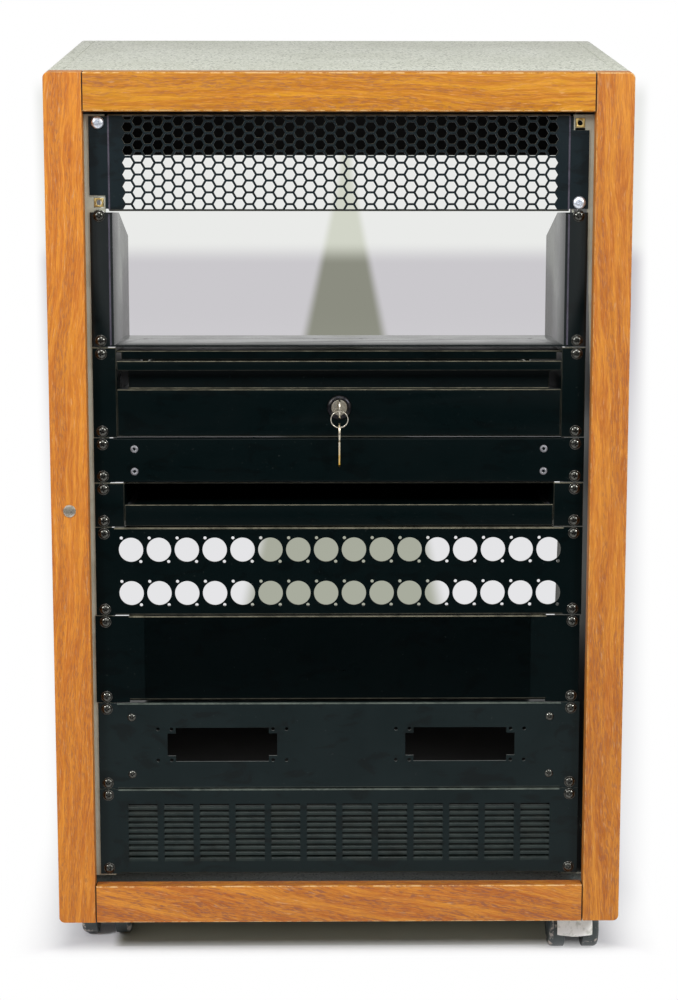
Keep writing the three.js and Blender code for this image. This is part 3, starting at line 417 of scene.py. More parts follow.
def piece(name, bm, material, *nodes, body="cabinet", matrix=FACE, smooth=35):
    finish_piece(from_bmesh(name, bm, material, matrix, smooth), body, *nodes)


def evaluated_mesh(obj):
    """An object's mesh once its curve or modifiers are worked out. The object itself goes."""
    bpy.context.view_layer.update()
    graph = bpy.context.evaluated_depsgraph_get()
    mesh = bpy.data.meshes.new_from_object(obj.evaluated_get(graph))
    bpy.data.objects.remove(obj)
    return mesh


def edge_layer(bm):
    return bm.faces.layers.float.get("edge") or bm.faces.layers.float.new("edge")


def soften(mesh, angle):
    """Smooth shading, with the corners sharper than `angle` kept."""
    for polygon in mesh.polygons:
        polygon.use_smooth = True
    bm = bmesh.new()
    bm.from_mesh(mesh)
    limit = radians(angle)
    for edge in bm.edges:
        edge.smooth = len(edge.link_faces) == 2 and edge.calc_face_angle(0) <= limit
    bm.to_mesh(mesh)
    bm.free()


def wear_and_highlight_share(normal):
    """How pale an edge is made: partly paint rubbed off where it is touched, and partly a painted highlight,
    most where it faces up into the light.
    """
    up, level, down = 0.75, 0.12, 0.04
    if normal.z > TIPPED:
        return up
    return level if normal.z > -TIPPED else down


def ease_corners(bm, bevel, segments=2, angle=40, share=wear_and_highlight_share):
    """Bevels the sharp edges of a bmesh, and marks the bevels with `edge`."""
    layer = edge_layer(bm)
    sharp = [e for e in bm.edges if len(e.link_faces) == 2 and e.calc_face_angle(0) > radians(angle)]
    made = bmesh.ops.bevel(
        bm, geom=sharp, offset=bevel, segments=segments, profile=0.5, affect="EDGES", clamp_overlap=True
    )
    bm.normal_update()
    for face in made["faces"]:
        face[layer] = share(face.normal)


def tighten_corners(bm, node):
    """Draws the cabinet's rounded corners in to the smaller radius that the photo shows."""
    solid_radius, seen_radius, tolerance = mm(11, 5.5, 0.2)
    low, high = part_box(node)
    corner_x = high.x if low.x + high.x > 0 else low.x
    reach, shift = solid_radius + tolerance, seen_radius / solid_radius - 1
    for vertex in bm.verts:
        # The front faces lean, so a point that moves up them moves back as well.
        back = tan(TILT) if "oak" in node or vertex.co.y < 0 else 0
        for corner_z in (low.z, high.z):
            across, up = vertex.co.x - corner_x, vertex.co.z - corner_z
            if max(abs(across), abs(up)) < reach:
                vertex.co += Vector((across * shift, up * shift * back, up * shift))


def dress(node, material, bevel=0.4, segments=2, angle=40, share=wear_and_highlight_share, tight=False):
    """A copy of a solid with its corners eased, which stands for it. Its bevels, with their width in
    millimetres, carry `edge`."""
    weld_distance, flat = 0.002 * MM, radians(2)
    bm = bmesh.new()
    bm.from_mesh(NODES[node].data)
    bmesh.ops.remove_doubles(bm, verts=bm.verts, dist=weld_distance)
    bmesh.ops.dissolve_limit(bm, angle_limit=flat, verts=bm.verts, edges=bm.edges)
    if tight:
        tighten_corners(bm, node)
    ease_corners(bm, bevel * MM, segments, angle, share)
    bmesh.ops.triangulate(bm, faces=[f for f in bm.faces if len(f.verts) > 4])
    mesh = mesh_from(bm, node + "_dressed", material)
    soften(mesh, 35)
    finish_piece(add_object(mesh.name, mesh), NODES[node]["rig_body"], node)


def skin(bm, rows, closed=False):
    """The faces between neighbouring rows of points."""
    for low, high in zip(rows, rows[1:]):
        for i in range(len(low) if closed else len(low) - 1):
            j = (i + 1) % len(low)
            bm.faces.new((low[i], low[j], high[j], high[i]))


def extrude_x(bm, profile, x0, x1, share):
    """A closed profile of (y, z) run from x0 to x1, added to a bmesh. Its sides carry `edge`."""
    layer = edge_layer(bm)
    rows = [[bm.verts.new((x, y, z)) for y, z in profile] for x in (x0, x1)]
    count = len(profile)
    for i in range(count):
        j = (i + 1) % count
        face = bm.faces.new((rows[0][i], rows[0][j], rows[1][j], rows[1][i]))
        face[layer] = share(i)
    bm.faces.new(rows[0][::-1])
    bm.faces.new(rows[1])


def six_faces(bm, points):
    """A solid of six faces, its corners given with z changing fastest and x slowest."""
    corners = [bm.verts.new(point) for point in points]
    for quad in ((0, 1, 3, 2), (4, 6, 7, 5), (0, 4, 5, 1), (2, 3, 7, 6), (0, 2, 6, 4), (1, 5, 7, 3)):
        bm.faces.new([corners[i] for i in quad])


def box(bm, x, y, z):
    six_faces(bm, [(a, b, c) for a in x for b in y for c in z])


def lathe(bm, profile, sides, matrix=IN_PLACE):
    """A profile of (radius, height) turned about Z, added to a bmesh."""
    rows = []
    for radius, height in profile:
        ring = ring_points(0, 0, radius, sides if radius > TINY else 1)
        rows.append([bm.verts.new(matrix @ Vector((x, y, height))) for x, y in ring])
    for low, high in zip(rows, rows[1:]):
        if len(low) == len(high) > 1:
            skin(bm, [low, high], closed=True)
        elif len(low) != len(high):
            tip, ring = (low[0], high) if len(low) == 1 else (high[0], low)
            for i in range(sides):
                bm.faces.new((tip, ring[i], ring[(i + 1) % sides]))


# Turns a lathe's axis from Z to the panels' outward normal, and to X.
OUTWARD = Matrix.Rotation(radians(90), 4, "X")
SIDEWAYS = Matrix.Rotation(radians(90), 4, "Y")


def facing(x, z, y=PANEL_Y):
    """Where a part turned about the panels' normal sits, its Z pointing out of the panel."""
    return move(x, y, z) @ OUTWARD


def ring_points(x, z, radius, sides):
    angles = [2 * pi * i / sides for i in range(sides)]
    return [(x + radius * cos(a), z + radius * sin(a)) for a in angles]


def rectangle(x0, x1, z0, z1):
    return [(x0, z0), (x1, z0), (x1, z1), (x0, z1)]


def plate(outlines, y0=PANEL_Y, thickness=SHEET, ease=0.12 * MM, worn=0.4):
    """A flat sheet in the panels' plane as a bmesh: the first outline less the others. Its cut edges
    carry `edge`. The curve that fills it is in millimetres, because the fill fails on tiny numbers."""
    curve = bpy.data.curves.new("outline", "CURVE")
    curve.dimensions = "2D"
    curve.fill_mode = "BOTH"
    for points in outlines:
        spline = curve.splines.new("POLY")
        spline.points.add(len(points) - 1)
        for p, (x, z) in zip(spline.points, points):
            p.co = (x / MM, z / MM, 0, 1)
        spline.use_cyclic_u = True
    curve.extrude = (thickness / 2 - ease) / MM
    curve.bevel_depth = ease / MM
    curve.bevel_resolution = 0
    curve.offset = -ease / MM
    mesh = evaluated_mesh(add_object("outline", curve))
    bpy.data.curves.remove(curve)
    mesh.transform(move(0, y0 + thickness / 2, 0) @ OUTWARD @ Matrix.Scale(MM, 4))
    bm = bmesh.new()
    bm.from_mesh(mesh)
    bpy.data.meshes.remove(mesh)
    weld(bm)
    layer, square_on = edge_layer(bm), 0.95
    # Cut edges get the pale edge colour: partly rubbed paint, partly a painted highlight where they face up.
    for face in bm.faces:
        if abs(face.normal.y) < square_on:
            face[layer] = worn * wear_and_highlight_share(face.normal)
    return bm


# Rack bays, from the top

BAYS = {}
level = RACK_TOP
for bay, units in UNITS:
    foot = level - units * UNIT
    BAYS[bay] = {"middle": (level + foot) / 2, "holes": (level - FIRST_HOLE, foot + FIRST_HOLE)}
    level = foot


def corner_points(side, end, ear_z, body_z, half, notch):
    """One corner of a folded panel's flat sheet, from the ear's end to the body, with its notch if any."""
    points = [(side * PANEL_HALF, ear_z)]
    if notch:
        width, height = notch
        inner = side * (PANEL_HALF - width)
        points = [(side * PANEL_HALF, ear_z - end * height), (inner, ear_z - end * height), (inner, ear_z)]
    return points + [(side * half, ear_z), (side * half, body_z)]


def sheet_outline(ears, body, half=BODY_HALF, notches=()):
    """A panel's flat sheet between the lowest and highest levels of its ears, and of its body's folds."""
    tuck = FOLD_RADIUS - 0.35 * MM
    corners = {}
    for side in (-1, 1):
        for end, ear_z, body_z in zip((-1, 1), ears, body):
            notch = dict(notches).get((side, end))
            corners[side, end] = corner_points(side, end, ear_z, body_z - end * tuck, half, notch)
    return corners[-1, -1] + corners[1, -1][::-1] + corners[1, 1] + corners[-1, 1][::-1]


def folded_panel(node, material, holes, overhang=0.0, notches=(), worn=0.4, add=None):
    """A panel with flat ears, and a pierced body whose top and bottom are rolled back into lips."""
    low, high = face_box(node)
    outline = sheet_outline((low.z + overhang, high.z - overhang), (low.z, high.z), notches=notches)
    bm = plate([outline] + holes, worn=worn)
    for end, edge_z in ((-1, low.z), (1, high.z)):
        add_lip(bm, end, edge_z, high.y)
    if add:
        add(bm)
    piece(node + "_fine", bm, material, node)


def fold(steps, depth, foot, rise):
    """The points (y, z) of a sheet that curves back from the panels' front as it rises."""
    turns = [radians(90 * i / steps) for i in range(steps + 1)]
    return [(PANEL_Y + depth * (1 - cos(a)), foot + rise * sin(a)) for a in turns]


def add_lip(bm, end, edge_z, back_y, half=BODY_HALF):
    """The rounded fold and the lip along a panel's top (end 1) or bottom (end -1)."""
    steps = 6
    inside = edge_z - end * FOLD_RADIUS
    profile = fold(steps, FOLD_RADIUS, inside, end * FOLD_RADIUS)
    profile += [
        (back_y, edge_z), (back_y, edge_z - end * SHEET), (PANEL_Y + FOLD_RADIUS, edge_z - end * SHEET),
        (PANEL_Y + SHEET, inside),
    ]
    # Painted highlight with some rubbed paint: the top fold is made paler than the bottom one.
    rub_and_highlight = 0.7 if end > 0 else 0.2
    extrude_x(bm, profile, -half, half, lambda i: rub_and_highlight if i < steps else 0.0)


# Pieces


def outer_wear(normal):
    """The oak's eased edges are barest along the top and bottom."""
    return 1.0 if abs(normal.z) > TIPPED else 0.35


def joint(normal):
    """A rail's ends meet the stiles in a dark joint."""
    return -1.0 if abs(normal.x) > TIPPED else 1.0


def oak_front():
    for node, material in (
        ("oak_stile_left", OAK_UP_LEFT), ("oak_stile_right", OAK_UP_RIGHT), ("oak_rail_top", OAK_TOP),
        ("oak_rail_bottom", OAK_BOTTOM),
    ):
        share = joint if "rail" in node else outer_wear
        dress(node, material, bevel=1.1, segments=3, angle=50, share=share, tight="stile" in node)


def carcass():
    for node in ("left_side", "right_side", "top_panel", "bottom_panel"):
        dress(node, LAMINATE, bevel=0.3, angle=50, share=lambda normal: 0.3, tight="side" in node)
    for node in ("rear_board", "rear_board_lower"):
        dress(node, BLACK_BOARD, bevel=0.6)


def bent_steel():
    for node in ("blank_panel", "drawer_housing", "drawer", "shelf_housing", "sliding_shelf"):
        dress(node, BLACK, bevel=0.7, segments=3)
    dress("open_tray", TRAY_BLACK, bevel=0.35, share=lambda normal: 0.0)
    fold_lines("open_tray", 0.3 * MM)
    # Painted shade: black corner blocks behind the drawer's slides, put where there is only shade, keep
    # daylight out of the gaps above them.
    low, high = face_box("drawer_housing")
    outer, inner, ahead, drop = mm(217, 206, 12.5, 17)
    bm = bmesh.new()
    for x in ((-outer, -inner), (inner, outer)):
        box(bm, x, (high.y - ahead, high.y - ahead + SHEET), (low.z + SHEET, high.z - drop))
    piece("drawer_housing_shade_blocks", bm, BLACK)
    for unit in ("drawer", "shelf"):
        for part in ("outer_left", "outer_right", "inner_left", "inner_right"):
            dress(f"{unit}_slide_{part}", SLIDE_ZINC, bevel=0.3)
    for row in ("upper", "lower"):
        for side in ("left", "right"):
            dress(f"cage_nut_{row}_{side}", YELLOW_ZINC)


def cut_level(points, level, keep):
    """The part of an outline above a level, or below it where `keep` is negative."""
    kept = []
    for (x0, z0), (x1, z1) in zip(points, points[1:] + points[:1]):
        if keep * (z0 - level) >= 0:
            kept.append((x0, z0))
        if (z0 - level) * (z1 - level) < 0:
            kept.append((x0 + (x1 - x0) * (level - z0) / (z1 - z0), level))
    return kept


def hex_cells(low, high):
    """The hexagonal grille's cells, the outer ones cut off at the body's margins."""
    column_pitch, row_pitch, shift = mm(9.765, 11.3, 1.1)
    web, margin = mm(2.15, 1.9)
    reach, short_rows = 21, 8
    radius = (row_pitch - web) / sqrt(3)
    middle = (low + high) / 2
    cells = []
    for column in range(-reach, reach + 1):
        rows = short_rows + column % 2
        for row in range(rows):
            z = middle + (row - (rows - 1) / 2) * row_pitch
            points = ring_points(column * column_pitch + shift, z, radius, 6)
            cells.append(cut_level(cut_level(points, low + margin, 1), high - margin, -1))
    return cells


def fold_lines(node, shift):
    """The fine upright creases where a panel's body meets its ears, coloured pale as a painted highlight on
    their bends.
    """
    low, high = face_box(node)
    half, proud, bevel, least_highlight = 0.85 * MM, 0.35 * MM, 0.3 * MM, 0.45
    depth = (PANEL_Y - proud, PANEL_Y + SHEET / 2)
    bm = bmesh.new()
    layer = edge_layer(bm)
    for side in (-1, 1):
        x = side * (BODY_HALF + shift)
        box(bm, (x - half, x + half), depth, (low.z + SHEET, high.z - SHEET))
    ease_corners(bm, bevel, share=lambda normal: 0.5)
    for face in bm.faces:
        face[layer] = max(face[layer], least_highlight)
    piece(node + "_creases", bm, CREASE_HIGHLIGHT)


def hex_vent_panel():
    low, high = face_box("hex_vent_panel")
    holes = hex_cells(low.z, high.z)
    screw_hole, notch, overhang = 3.4 * MM, (15.3 * MM, 13 * MM), 2.2 * MM
    for side, row in ((-1, 0), (1, 1)):
        holes.append(ring_points(side * HOLE_X, BAYS["hex"]["holes"][row], screw_hole, 32))
    notches = (((-1, -1), notch), ((1, 1), notch))
    # The webs' edges get much of the pale edge colour: a painted highlight where light catches them, with
    # some rubbed paint.
    folded_panel("hex_vent_panel", BLACK_PAINTED_TOP_REFLECTION, holes, overhang, notches, worn=0.9)
    fold_lines("hex_vent_panel", -0.2 * MM)


def patch_panel():
    columns, pitch, shift, row_height = 16, 27.6 * MM, 0.8 * MM, 21.8 * MM
    hole, screw_hole = mm(12.1, 1.6)
    screw_x, screw_z = mm(9.5, 11.8)
    middle = BAYS["patch"]["middle"]
    holes = []
    for column in range(columns):
        x = (column - (columns - 1) / 2) * pitch + shift
        for z in (middle - row_height, middle + row_height):
            holes.append(ring_points(x, z, hole, 48))
            for end in (-1, 1):
                holes.append(ring_points(x + end * screw_x, z - end * screw_z, screw_hole, 16))
    folded_panel("patch_panel", BLACK, holes)


def connector_panel():
    """Two cut-outs with stepped corners, each with four small holes at either end."""
    offset, shift, rise, small_hole = mm(119.4, 2, 1.1, 1.8)
    wide, narrow, short, tall = mm(55, 46.7, 11.5, 17.35)
    near, far, up = mm(50.9, 64.5, 16)
    middle = BAYS["connector"]["middle"] + rise
    holes = []
    for side in (-1, 1):
        x = side * offset + shift
        outline = []
        for a, b in ((-1, -1), (1, -1), (1, 1), (-1, 1)):
            step = [(x + a * u, middle + b * v) for u, v in ((wide, short), (narrow, short), (narrow, tall))]
            outline += step if a == b else step[::-1]
        holes.append(outline)
        for across in (-far, -near, near, far):
            for z in (middle - up, middle + up):
                holes.append(ring_points(x + across, z, small_hole, 14))
    folded_panel("connector_panel", BLACK_PAINTED_FLOOR_REFLECTION, holes)


def slotted_vent_panel():
    """Windows in columns, each with a stack of pressed blades that curve back as they rise."""
    columns, rows, steps = 12, 10, 5
    pitch, width, rise, drop = mm(36, 29.3, 5.95, 1.2)
    blade_height, blade_depth, blade_sheet, tuck = mm(3.6, 2.1, 0.95, 0.5)
    shade_sheet_gap, shade_sheet_thickness = mm(10, 1)
    # Painted light on the blades: a highlight along their top edges and a lighter front. Their backs carry
    # painted black shade.
    lip_highlight, front_highlight, unlit = 0.6, 0.12, -1.0
    low = BAYS["slots"]["middle"] - rows * rise / 2 - drop
    high = low + rows * rise
    middles = [(column - (columns - 1) / 2) * pitch for column in range(columns)]
    windows = [rectangle(x - width / 2, x + width / 2, low, high) for x in middles]
    reach = width / 2 + tuck

    def blade_share(i):
        if i == steps:
            return lip_highlight
        return front_highlight if i < steps else unlit

    def blades(bm):
        for row in range(rows):
            front = fold(steps, blade_depth, low + row * rise, blade_height)
            back = [(y + blade_sheet, z) for y, z in reversed(front)]
            for x in middles:
                extrude_x(bm, front + back, x - reach, x + reach, blade_share)
        # Painted shade: a black sheet behind the blades, put where there is only shade.
        layer = edge_layer(bm)
        before = set(bm.faces)
        sheet_y = PANEL_Y + shade_sheet_gap
        box(bm, (-BODY_HALF, BODY_HALF), (sheet_y, sheet_y + shade_sheet_thickness), (low, high))
        for face in set(bm.faces) - before:
            face[layer] = unlit

    folded_panel("slotted_vent_panel", BLACK_PAINTED_FLOOR_REFLECTION, windows, add=blades)


def vent_box():
    """A recess behind a folded frame, its floor a row of bars with slots between them."""
    low, high = face_box("vent_box")
    shift, rise, fold_half, half = (low.x + high.x) / 2, 2.6 * MM, 208 * MM, 192.8 * MM
    depth, lip_depth, front_strip, back_strip = mm(54, 12, 14.6, 4.4)
    pitch, bar, slots, bevel = 20.2 * MM, 4.6 * MM, 19, 0.6 * MM
    bottom, top, back = low.z + rise, high.z, PANEL_Y + depth
    outline = sheet_outline((low.z, high.z), (bottom, top), fold_half)
    bm = plate([outline, rectangle(-half, half, bottom + SHEET, top - SHEET)])
    for end, edge_z in ((-1, bottom), (1, top)):
        add_lip(bm, end, edge_z, PANEL_Y + lip_depth, fold_half)
    inner = bmesh.new()
    run, floor = (PANEL_Y + SHEET / 2, back), (bottom, bottom + SHEET)
    for side in (-1, 1):
        box(inner, sorted((side * half, side * (half + SHEET))), run, (bottom + SHEET, top - SHEET))
    box(inner, (-half, half), run, (top - SHEET, top))
    box(inner, (-half - SHEET, half + SHEET), (back - SHEET, back), (bottom, top))
    box(inner, (-half, half), (PANEL_Y + SHEET, PANEL_Y + front_strip), floor)
    box(inner, (-half, half), (back - back_strip, back - SHEET), floor)
    for i in range(slots + 1):
        x = (i - slots / 2) * pitch
        across = (max(x - bar / 2, -half), min(x + bar / 2, half))
        box(inner, across, (PANEL_Y + front_strip, back - back_strip), floor)
    # Painted highlight: the floor bars' upward edges are coloured pale.
    ease_corners(inner, bevel, share=lambda normal: 0.9 if normal.z > TIPPED else 0.1)
    joined = mesh_from(inner, "vent_box_inner")
    bm.from_mesh(joined)
    bpy.data.meshes.remove(joined)
    piece("vent_box_fine", bm, BLACK, "vent_box", matrix=FACE @ move(shift, 0, 0))


def rack_rails():
    """The angle rails with a square hole at every rack position."""
    half, sheet, overlap = mm(4.75, 2, 0.1)
    rack_units = sum(units for _, units in UNITS)
    levels = [RACK_TOP - unit * UNIT - drop for unit in range(rack_units) for drop in HOLE_STEPS]
    for side, node in ((-1, "rack_rail_left"), (1, "rack_rail_right")):
        low, high = face_box(node)
        x = side * HOLE_X
        holes = [rectangle(x - half, x + half, z - half, z + half) for z in levels]
        bm = plate([rectangle(low.x, high.x, low.z, high.z)] + holes, low.y, sheet)
        wall = (high.x - sheet, high.x) if side > 0 else (low.x, low.x + sheet)
        box(bm, wall, (low.y + sheet - overlap, high.y), (low.z, high.z))
        piece(node + "_fine", bm, RAIL, node)


def turned_mesh(name, profile, sides, *materials):
    """A mesh turned from a profile of (radius, height)."""
    bm = bmesh.new()
    lathe(bm, profile, sides)
    weld(bm)
    mesh = mesh_from(bm, name, *materials)
    soften(mesh, 40)
    return mesh


def screw_mesh(name, profile, recess, material):
    """A crosshead screw, with its recess cut out of the head."""
    head = add_object(name, turned_mesh(name, profile, 36))
    crown = max(height for _, height in profile)
    depth, clearance, arm, slant = 1.5 * MM, 1 * MM, recess * 0.15, 20
    # The recess narrows from above the crown to its floor.
    floor, mouth = (crown - depth, 0.45, 0.5), (crown + clearance, 1.25, 1.3)
    cross = bmesh.new()
    for turn in (0, 90):
        turned = Matrix.Rotation(radians(turn + slant), 4, "Z")
        six_faces(cross, [
            turned @ Vector((x * length, y * width, z))
            for x in (-recess / 2, recess / 2) for y in (-arm, arm) for z, length, width in (floor, mouth)
        ])
    cutter = add_object("recess", mesh_from(cross, "recess"))
    modifier = head.modifiers.new("cut", "BOOLEAN")
    modifier.object = cutter
    modifier.solver = "EXACT"
    modifier.use_self = True
    result = evaluated_mesh(head)
    bpy.data.objects.remove(cutter)
    result.materials.clear()
    result.materials.append(material)
    soften(result, 40)
    return result


def scatter(mesh, places, name, *nodes):
    """A piece of the cabinet made of copies of a mesh, each turned further than the one before."""
    step = 37
    bm = bmesh.new()
    for i, matrix in enumerate(places):
        copy = mesh.copy()
        copy.transform(FACE @ matrix @ Matrix.Rotation(radians(step * i), 4, "Z"))
        bm.from_mesh(copy)
        bpy.data.meshes.remove(copy)
    finish_piece(add_object(name, mesh_from(bm, name, mesh.materials[0])), "cabinet", *nodes)


def four_corners(bay, across, up, shift=0.0):
    """Places at the corners of a rectangle about a bay's middle."""
    middle = BAYS[bay]["middle"]
    return [facing(side * across + shift, middle + end * up) for side in (-1, 1) for end in (-1, 1)]


def millimetres(*pairs):
    return [mm(*pair) for pair in pairs]


# Profiles of (radius, height above the panel), in millimetres
CUP_SCREW = millimetres(
    (0, -0.2), (5.9, -0.2), (5.9, 0.2), (5.75, 0.6), (5.4, 0.85), (5.05, 0.85), (4.95, 0.7), (4.8, 1.1),
    (4.45, 1.65), (3.8, 2.2), (2.8, 2.65), (1.5, 2.95), (0, 3.05),
)
PAN_SCREW = millimetres(
    (0, -0.2), (6.2, -0.2), (6.2, 0.5), (6.05, 1.2), (5.5, 2.0), (4.5, 2.65), (3.0, 3.05), (0, 3.25),
)
SMALL_SCREW = millimetres((0, -0.2), (4, -0.2), (4, 0.3), (3.4, 0.95), (2.2, 1.45), (0, 1.65))
RIVET = millimetres(
    (1.5, -2), (1.5, 0.7), (2.3, 1.1), (3.3, 0.8), (3.8, 0.2), (3.8, -0.2), (1.6, -2), (0, -2),
)
RIVET_CORE = millimetres((1.2, -2), (1.2, -0.6), (0.7, -0.1), (0, 0))
BUTTON = millimetres((0, -0.2), (6.25, -0.2), (6.25, 0.5), (5.8, 1.0), (4.7, 1.2), (0, 1.3))


def fasteners():
    black = screw_mesh("rack_screw", CUP_SCREW, 5.4 * MM, BLACK_NICKEL)
    places = [
        facing(side * HOLE_X, z)
        for name, bay in BAYS.items() if name != "hex"
        for z in bay["holes"] for side in (-1, 1)
    ]
    scatter(black, places, "rack_screws")
    zinc = screw_mesh("zinc_screw", PAN_SCREW, 5.8 * MM, ZINC)
    for node, side, row in (("zinc_screw_upper", -1, 0), ("zinc_screw_lower", 1, 1)):
        scatter(zinc, [facing(side * HOLE_X, BAYS["hex"]["holes"][row])], node + "_fine", node)
    small = screw_mesh("small_screw", SMALL_SCREW, 4 * MM, BLACK_NICKEL)
    places = four_corners("connector", across=209.7 * MM, up=29.4 * MM, shift=1.7 * MM)
    scatter(small, places, "connector_panel_screws")
    places = four_corners("blank", across=201.5 * MM, up=11.1 * MM)
    scatter(turned_mesh("hollow_rivet", RIVET, 28, RIVET_STEEL), places, "blank_panel_rivets")
    scatter(turned_mesh("rivet_core", RIVET_CORE, 28, PRIMER), places, "blank_panel_rivet_cores")


def stile_button():
    low, high = face_box("stile_button")
    middle = (low + high) / 2
    bm = bmesh.new()
    lathe(bm, BUTTON, 40)
    place = facing(middle.x, middle.z, 0)
    piece("stile_button_fine", bm, NICKEL, "stile_button", matrix=FACE @ place)


# Profiles of (radius, height) of the lock, measured outwards from its collar's foot, in millimetres
BEZEL = millimetres(
    (8.0, 1.9), (9.0, 2.4), (10.2, 2.2), (11.6, 1.2), (12, 0.5), (12, 0), (9.4, 0), (9.4, -20), (7.9, -20),
    (7.9, 1.9), (8.0, 1.9),
)
TAIL = millimetres((0, -22.9), (4.3, -22.9), (4.3, -20), (7.55, -20), (7.55, -6.7), (0, -6.7))


def lock():
    low, high = face_box("lock_barrel")
    z = (low.z + high.z) / 2
    seated = facing(0, z, PANEL_Y - SEAT)
    bm = bmesh.new()
    lathe(bm, BEZEL, 56)
    piece("lock_barrel_fine", bm, LOCK_BLACK, "lock_barrel", body="drawer", matrix=FACE @ seated)
    radius, slot_half, slot_reach, thickness, ease = mm(7.6, 1.25, 3.8, 10, 0.5)
    slot = rectangle(-slot_half, slot_half, z - slot_reach, z + slot_reach)
    bm = plate([ring_points(0, z, radius, 56), slot], face_box("lock_cylinder")[0].y, thickness, ease)
    lathe(bm, TAIL, 48, seated)
    piece("lock_cylinder_fine", bm, NICKEL, "lock_cylinder", body="lock")
    NODES["lock_cam"].data.materials.clear()
    NODES["lock_cam"].data.materials.append(ZINC)


def key_outline(blade, width, bow, hole_shift):
    """A key's outline with its bow's centre at 0 and its blade downwards, and the bow's hole."""
    steps, hole_radius, w = 40, 3 * MM, width / 2
    half_angle = asin(w / bow)
    points = []
    for i in range(steps + 1):
        a = half_angle - pi / 2 + 2 * (pi - half_angle) * i / steps
        points.append((bow * cos(a), bow * sin(a)))
    tip = -bow - blade
    points += [(-w, -bow * 1.02), (-w, tip + w * 0.9), (-w * 0.2, tip), (w * 0.3, tip)]
    # The cuts, each a share of the blade's width, run from the tip to near the bow.
    cuts, run, v = (0.30, 0.12, 0.34, 0.18, 0.40, 0.10, 0.28), 0.78 * blade, tip + w * 0.7
    step = run / len(cuts)
    for depth in cuts:
        points += [(w * (1 - depth * 0.4), v), (w * (1 - depth * 2), v + step / 2)]
        v += step
    return [points + [(w, v)], ring_points(0, hole_shift, hole_radius, 24)]


# Turns the plane that a key is drawn in: into the lock, and hanging down.
INTO_LOCK = Matrix(((0, 1, 0, 0), (0, 0, -1, 0), (-1, 0, 0, 0), (0, 0, 0, 1)))
HANGING = Matrix(((0, 1, 0, 0), (1, 0, 0, 0), (0, 0, 1, 0), (0, 0, 0, 1)))


def keys():
    """Both keys lie edge-on to the front, in the plane of the lock's slot."""
    thickness, bow, hole_shift, ease = mm(1.9, 9.5, 3.4, 0.25)
    low, high = face_box("lock_key")
    bm = plate(key_outline(15 * MM, 7 * MM, bow, hole_shift), -thickness / 2, thickness, ease)
    turn = move(0, low.y + bow, (low.z + high.z) / 2) @ INTO_LOCK
    piece("lock_key_fine", bm, NICKEL, "lock_key", body="lock", matrix=FACE @ turn)
    split_ring()
    low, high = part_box("spare_key")
    centre = Vector(((low.x + high.x) / 2, (low.y + high.y) / 2, high.z - bow))
    bm = plate(key_outline(25 * MM, 6.4 * MM, bow, hole_shift), -thickness / 2, thickness, ease)
    brass, matrix = spare_brass(centre.z - bow), move(*centre) @ HANGING
    piece("spare_key_fine", bm, brass, "spare_key", body="spare_key", matrix=matrix)


def split_ring():
    """Almost two turns of round wire, one behind the other."""
    low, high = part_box("key_ring")
    steps, sides, start = 120, 10, radians(40)
    wire, radius, turns, pitch = 0.55 * MM, 8.3 * MM, 1.9, 0.95 * MM
    inwards = Vector((0, 1, 0))
    bm = bmesh.new()
    rows = []
    for i in range(steps + 1):
        share = i / steps
        a = 2 * pi * turns * share + start
        out = Vector((cos(a), 0, sin(a)))
        centre = (low + high) / 2 + out * radius + inwards * (share - 0.5) * pitch
        rows.append([
            bm.verts.new(centre + out * across + inwards * along)
            for across, along in ring_points(0, 0, wire, sides)
        ])
    skin(bm, rows, closed=True)
    bm.faces.new(rows[0])
    bm.faces.new(rows[-1])
    piece("split_ring", bm, NICKEL, "key_ring", body="key_ring", matrix=IN_PLACE, smooth=60)


def spare_brass(level):
    """Nickel worn through to brass from `level` down to the blade's tip."""
    t = Tree("worn_key_brass")
    at = t.node("TexCoord", out="Object")
    start, end, ragged = -2 * MM, 22 * MM, 0.25
    worn = t.ramp(t.minus(level, t.parts(at)[2]), start, end)
    patch = t.ramp(t.noise(at, 260, 4, 0.6), 0.3, 0.7, -ragged, ragged)
    share = t.plus(worn, patch)
    share.node.use_clamp = True
    base = t.mix(share, (210, 204, 186), (214, 170, 70))
    return t.finish(Base_Color=base, Metallic=1.0, Roughness=t.ramp(patch, -ragged, ragged, 0.18, 0.32))


# Profiles of a wheel, a hub and an axle, in millimetres
WHEEL = millimetres(
    (3.6, 0), (8, 0), (8, 1.2), (20, 1.2), (21, 0), (24.2, 0), (25, 0.8), (25, 12.2), (24.6, 13.9),
    (23.4, 15.5), (21.6, 16.3), (20, 16.5), (19, 15.9), (12, 15.3), (9.5, 15.5), (8.8, 16.3), (0, 16.5),
    (0, 14), (3.6, 14), (3.6, 0),
)
HUB = millimetres((0, -9), (14.9, -9), (15.5, -8.4), (15.5, 8.4), (14.9, 9), (0, 9))
AXLE = millimetres((0, -22), (3.2, -22), (3.2, 22), (0, 22))


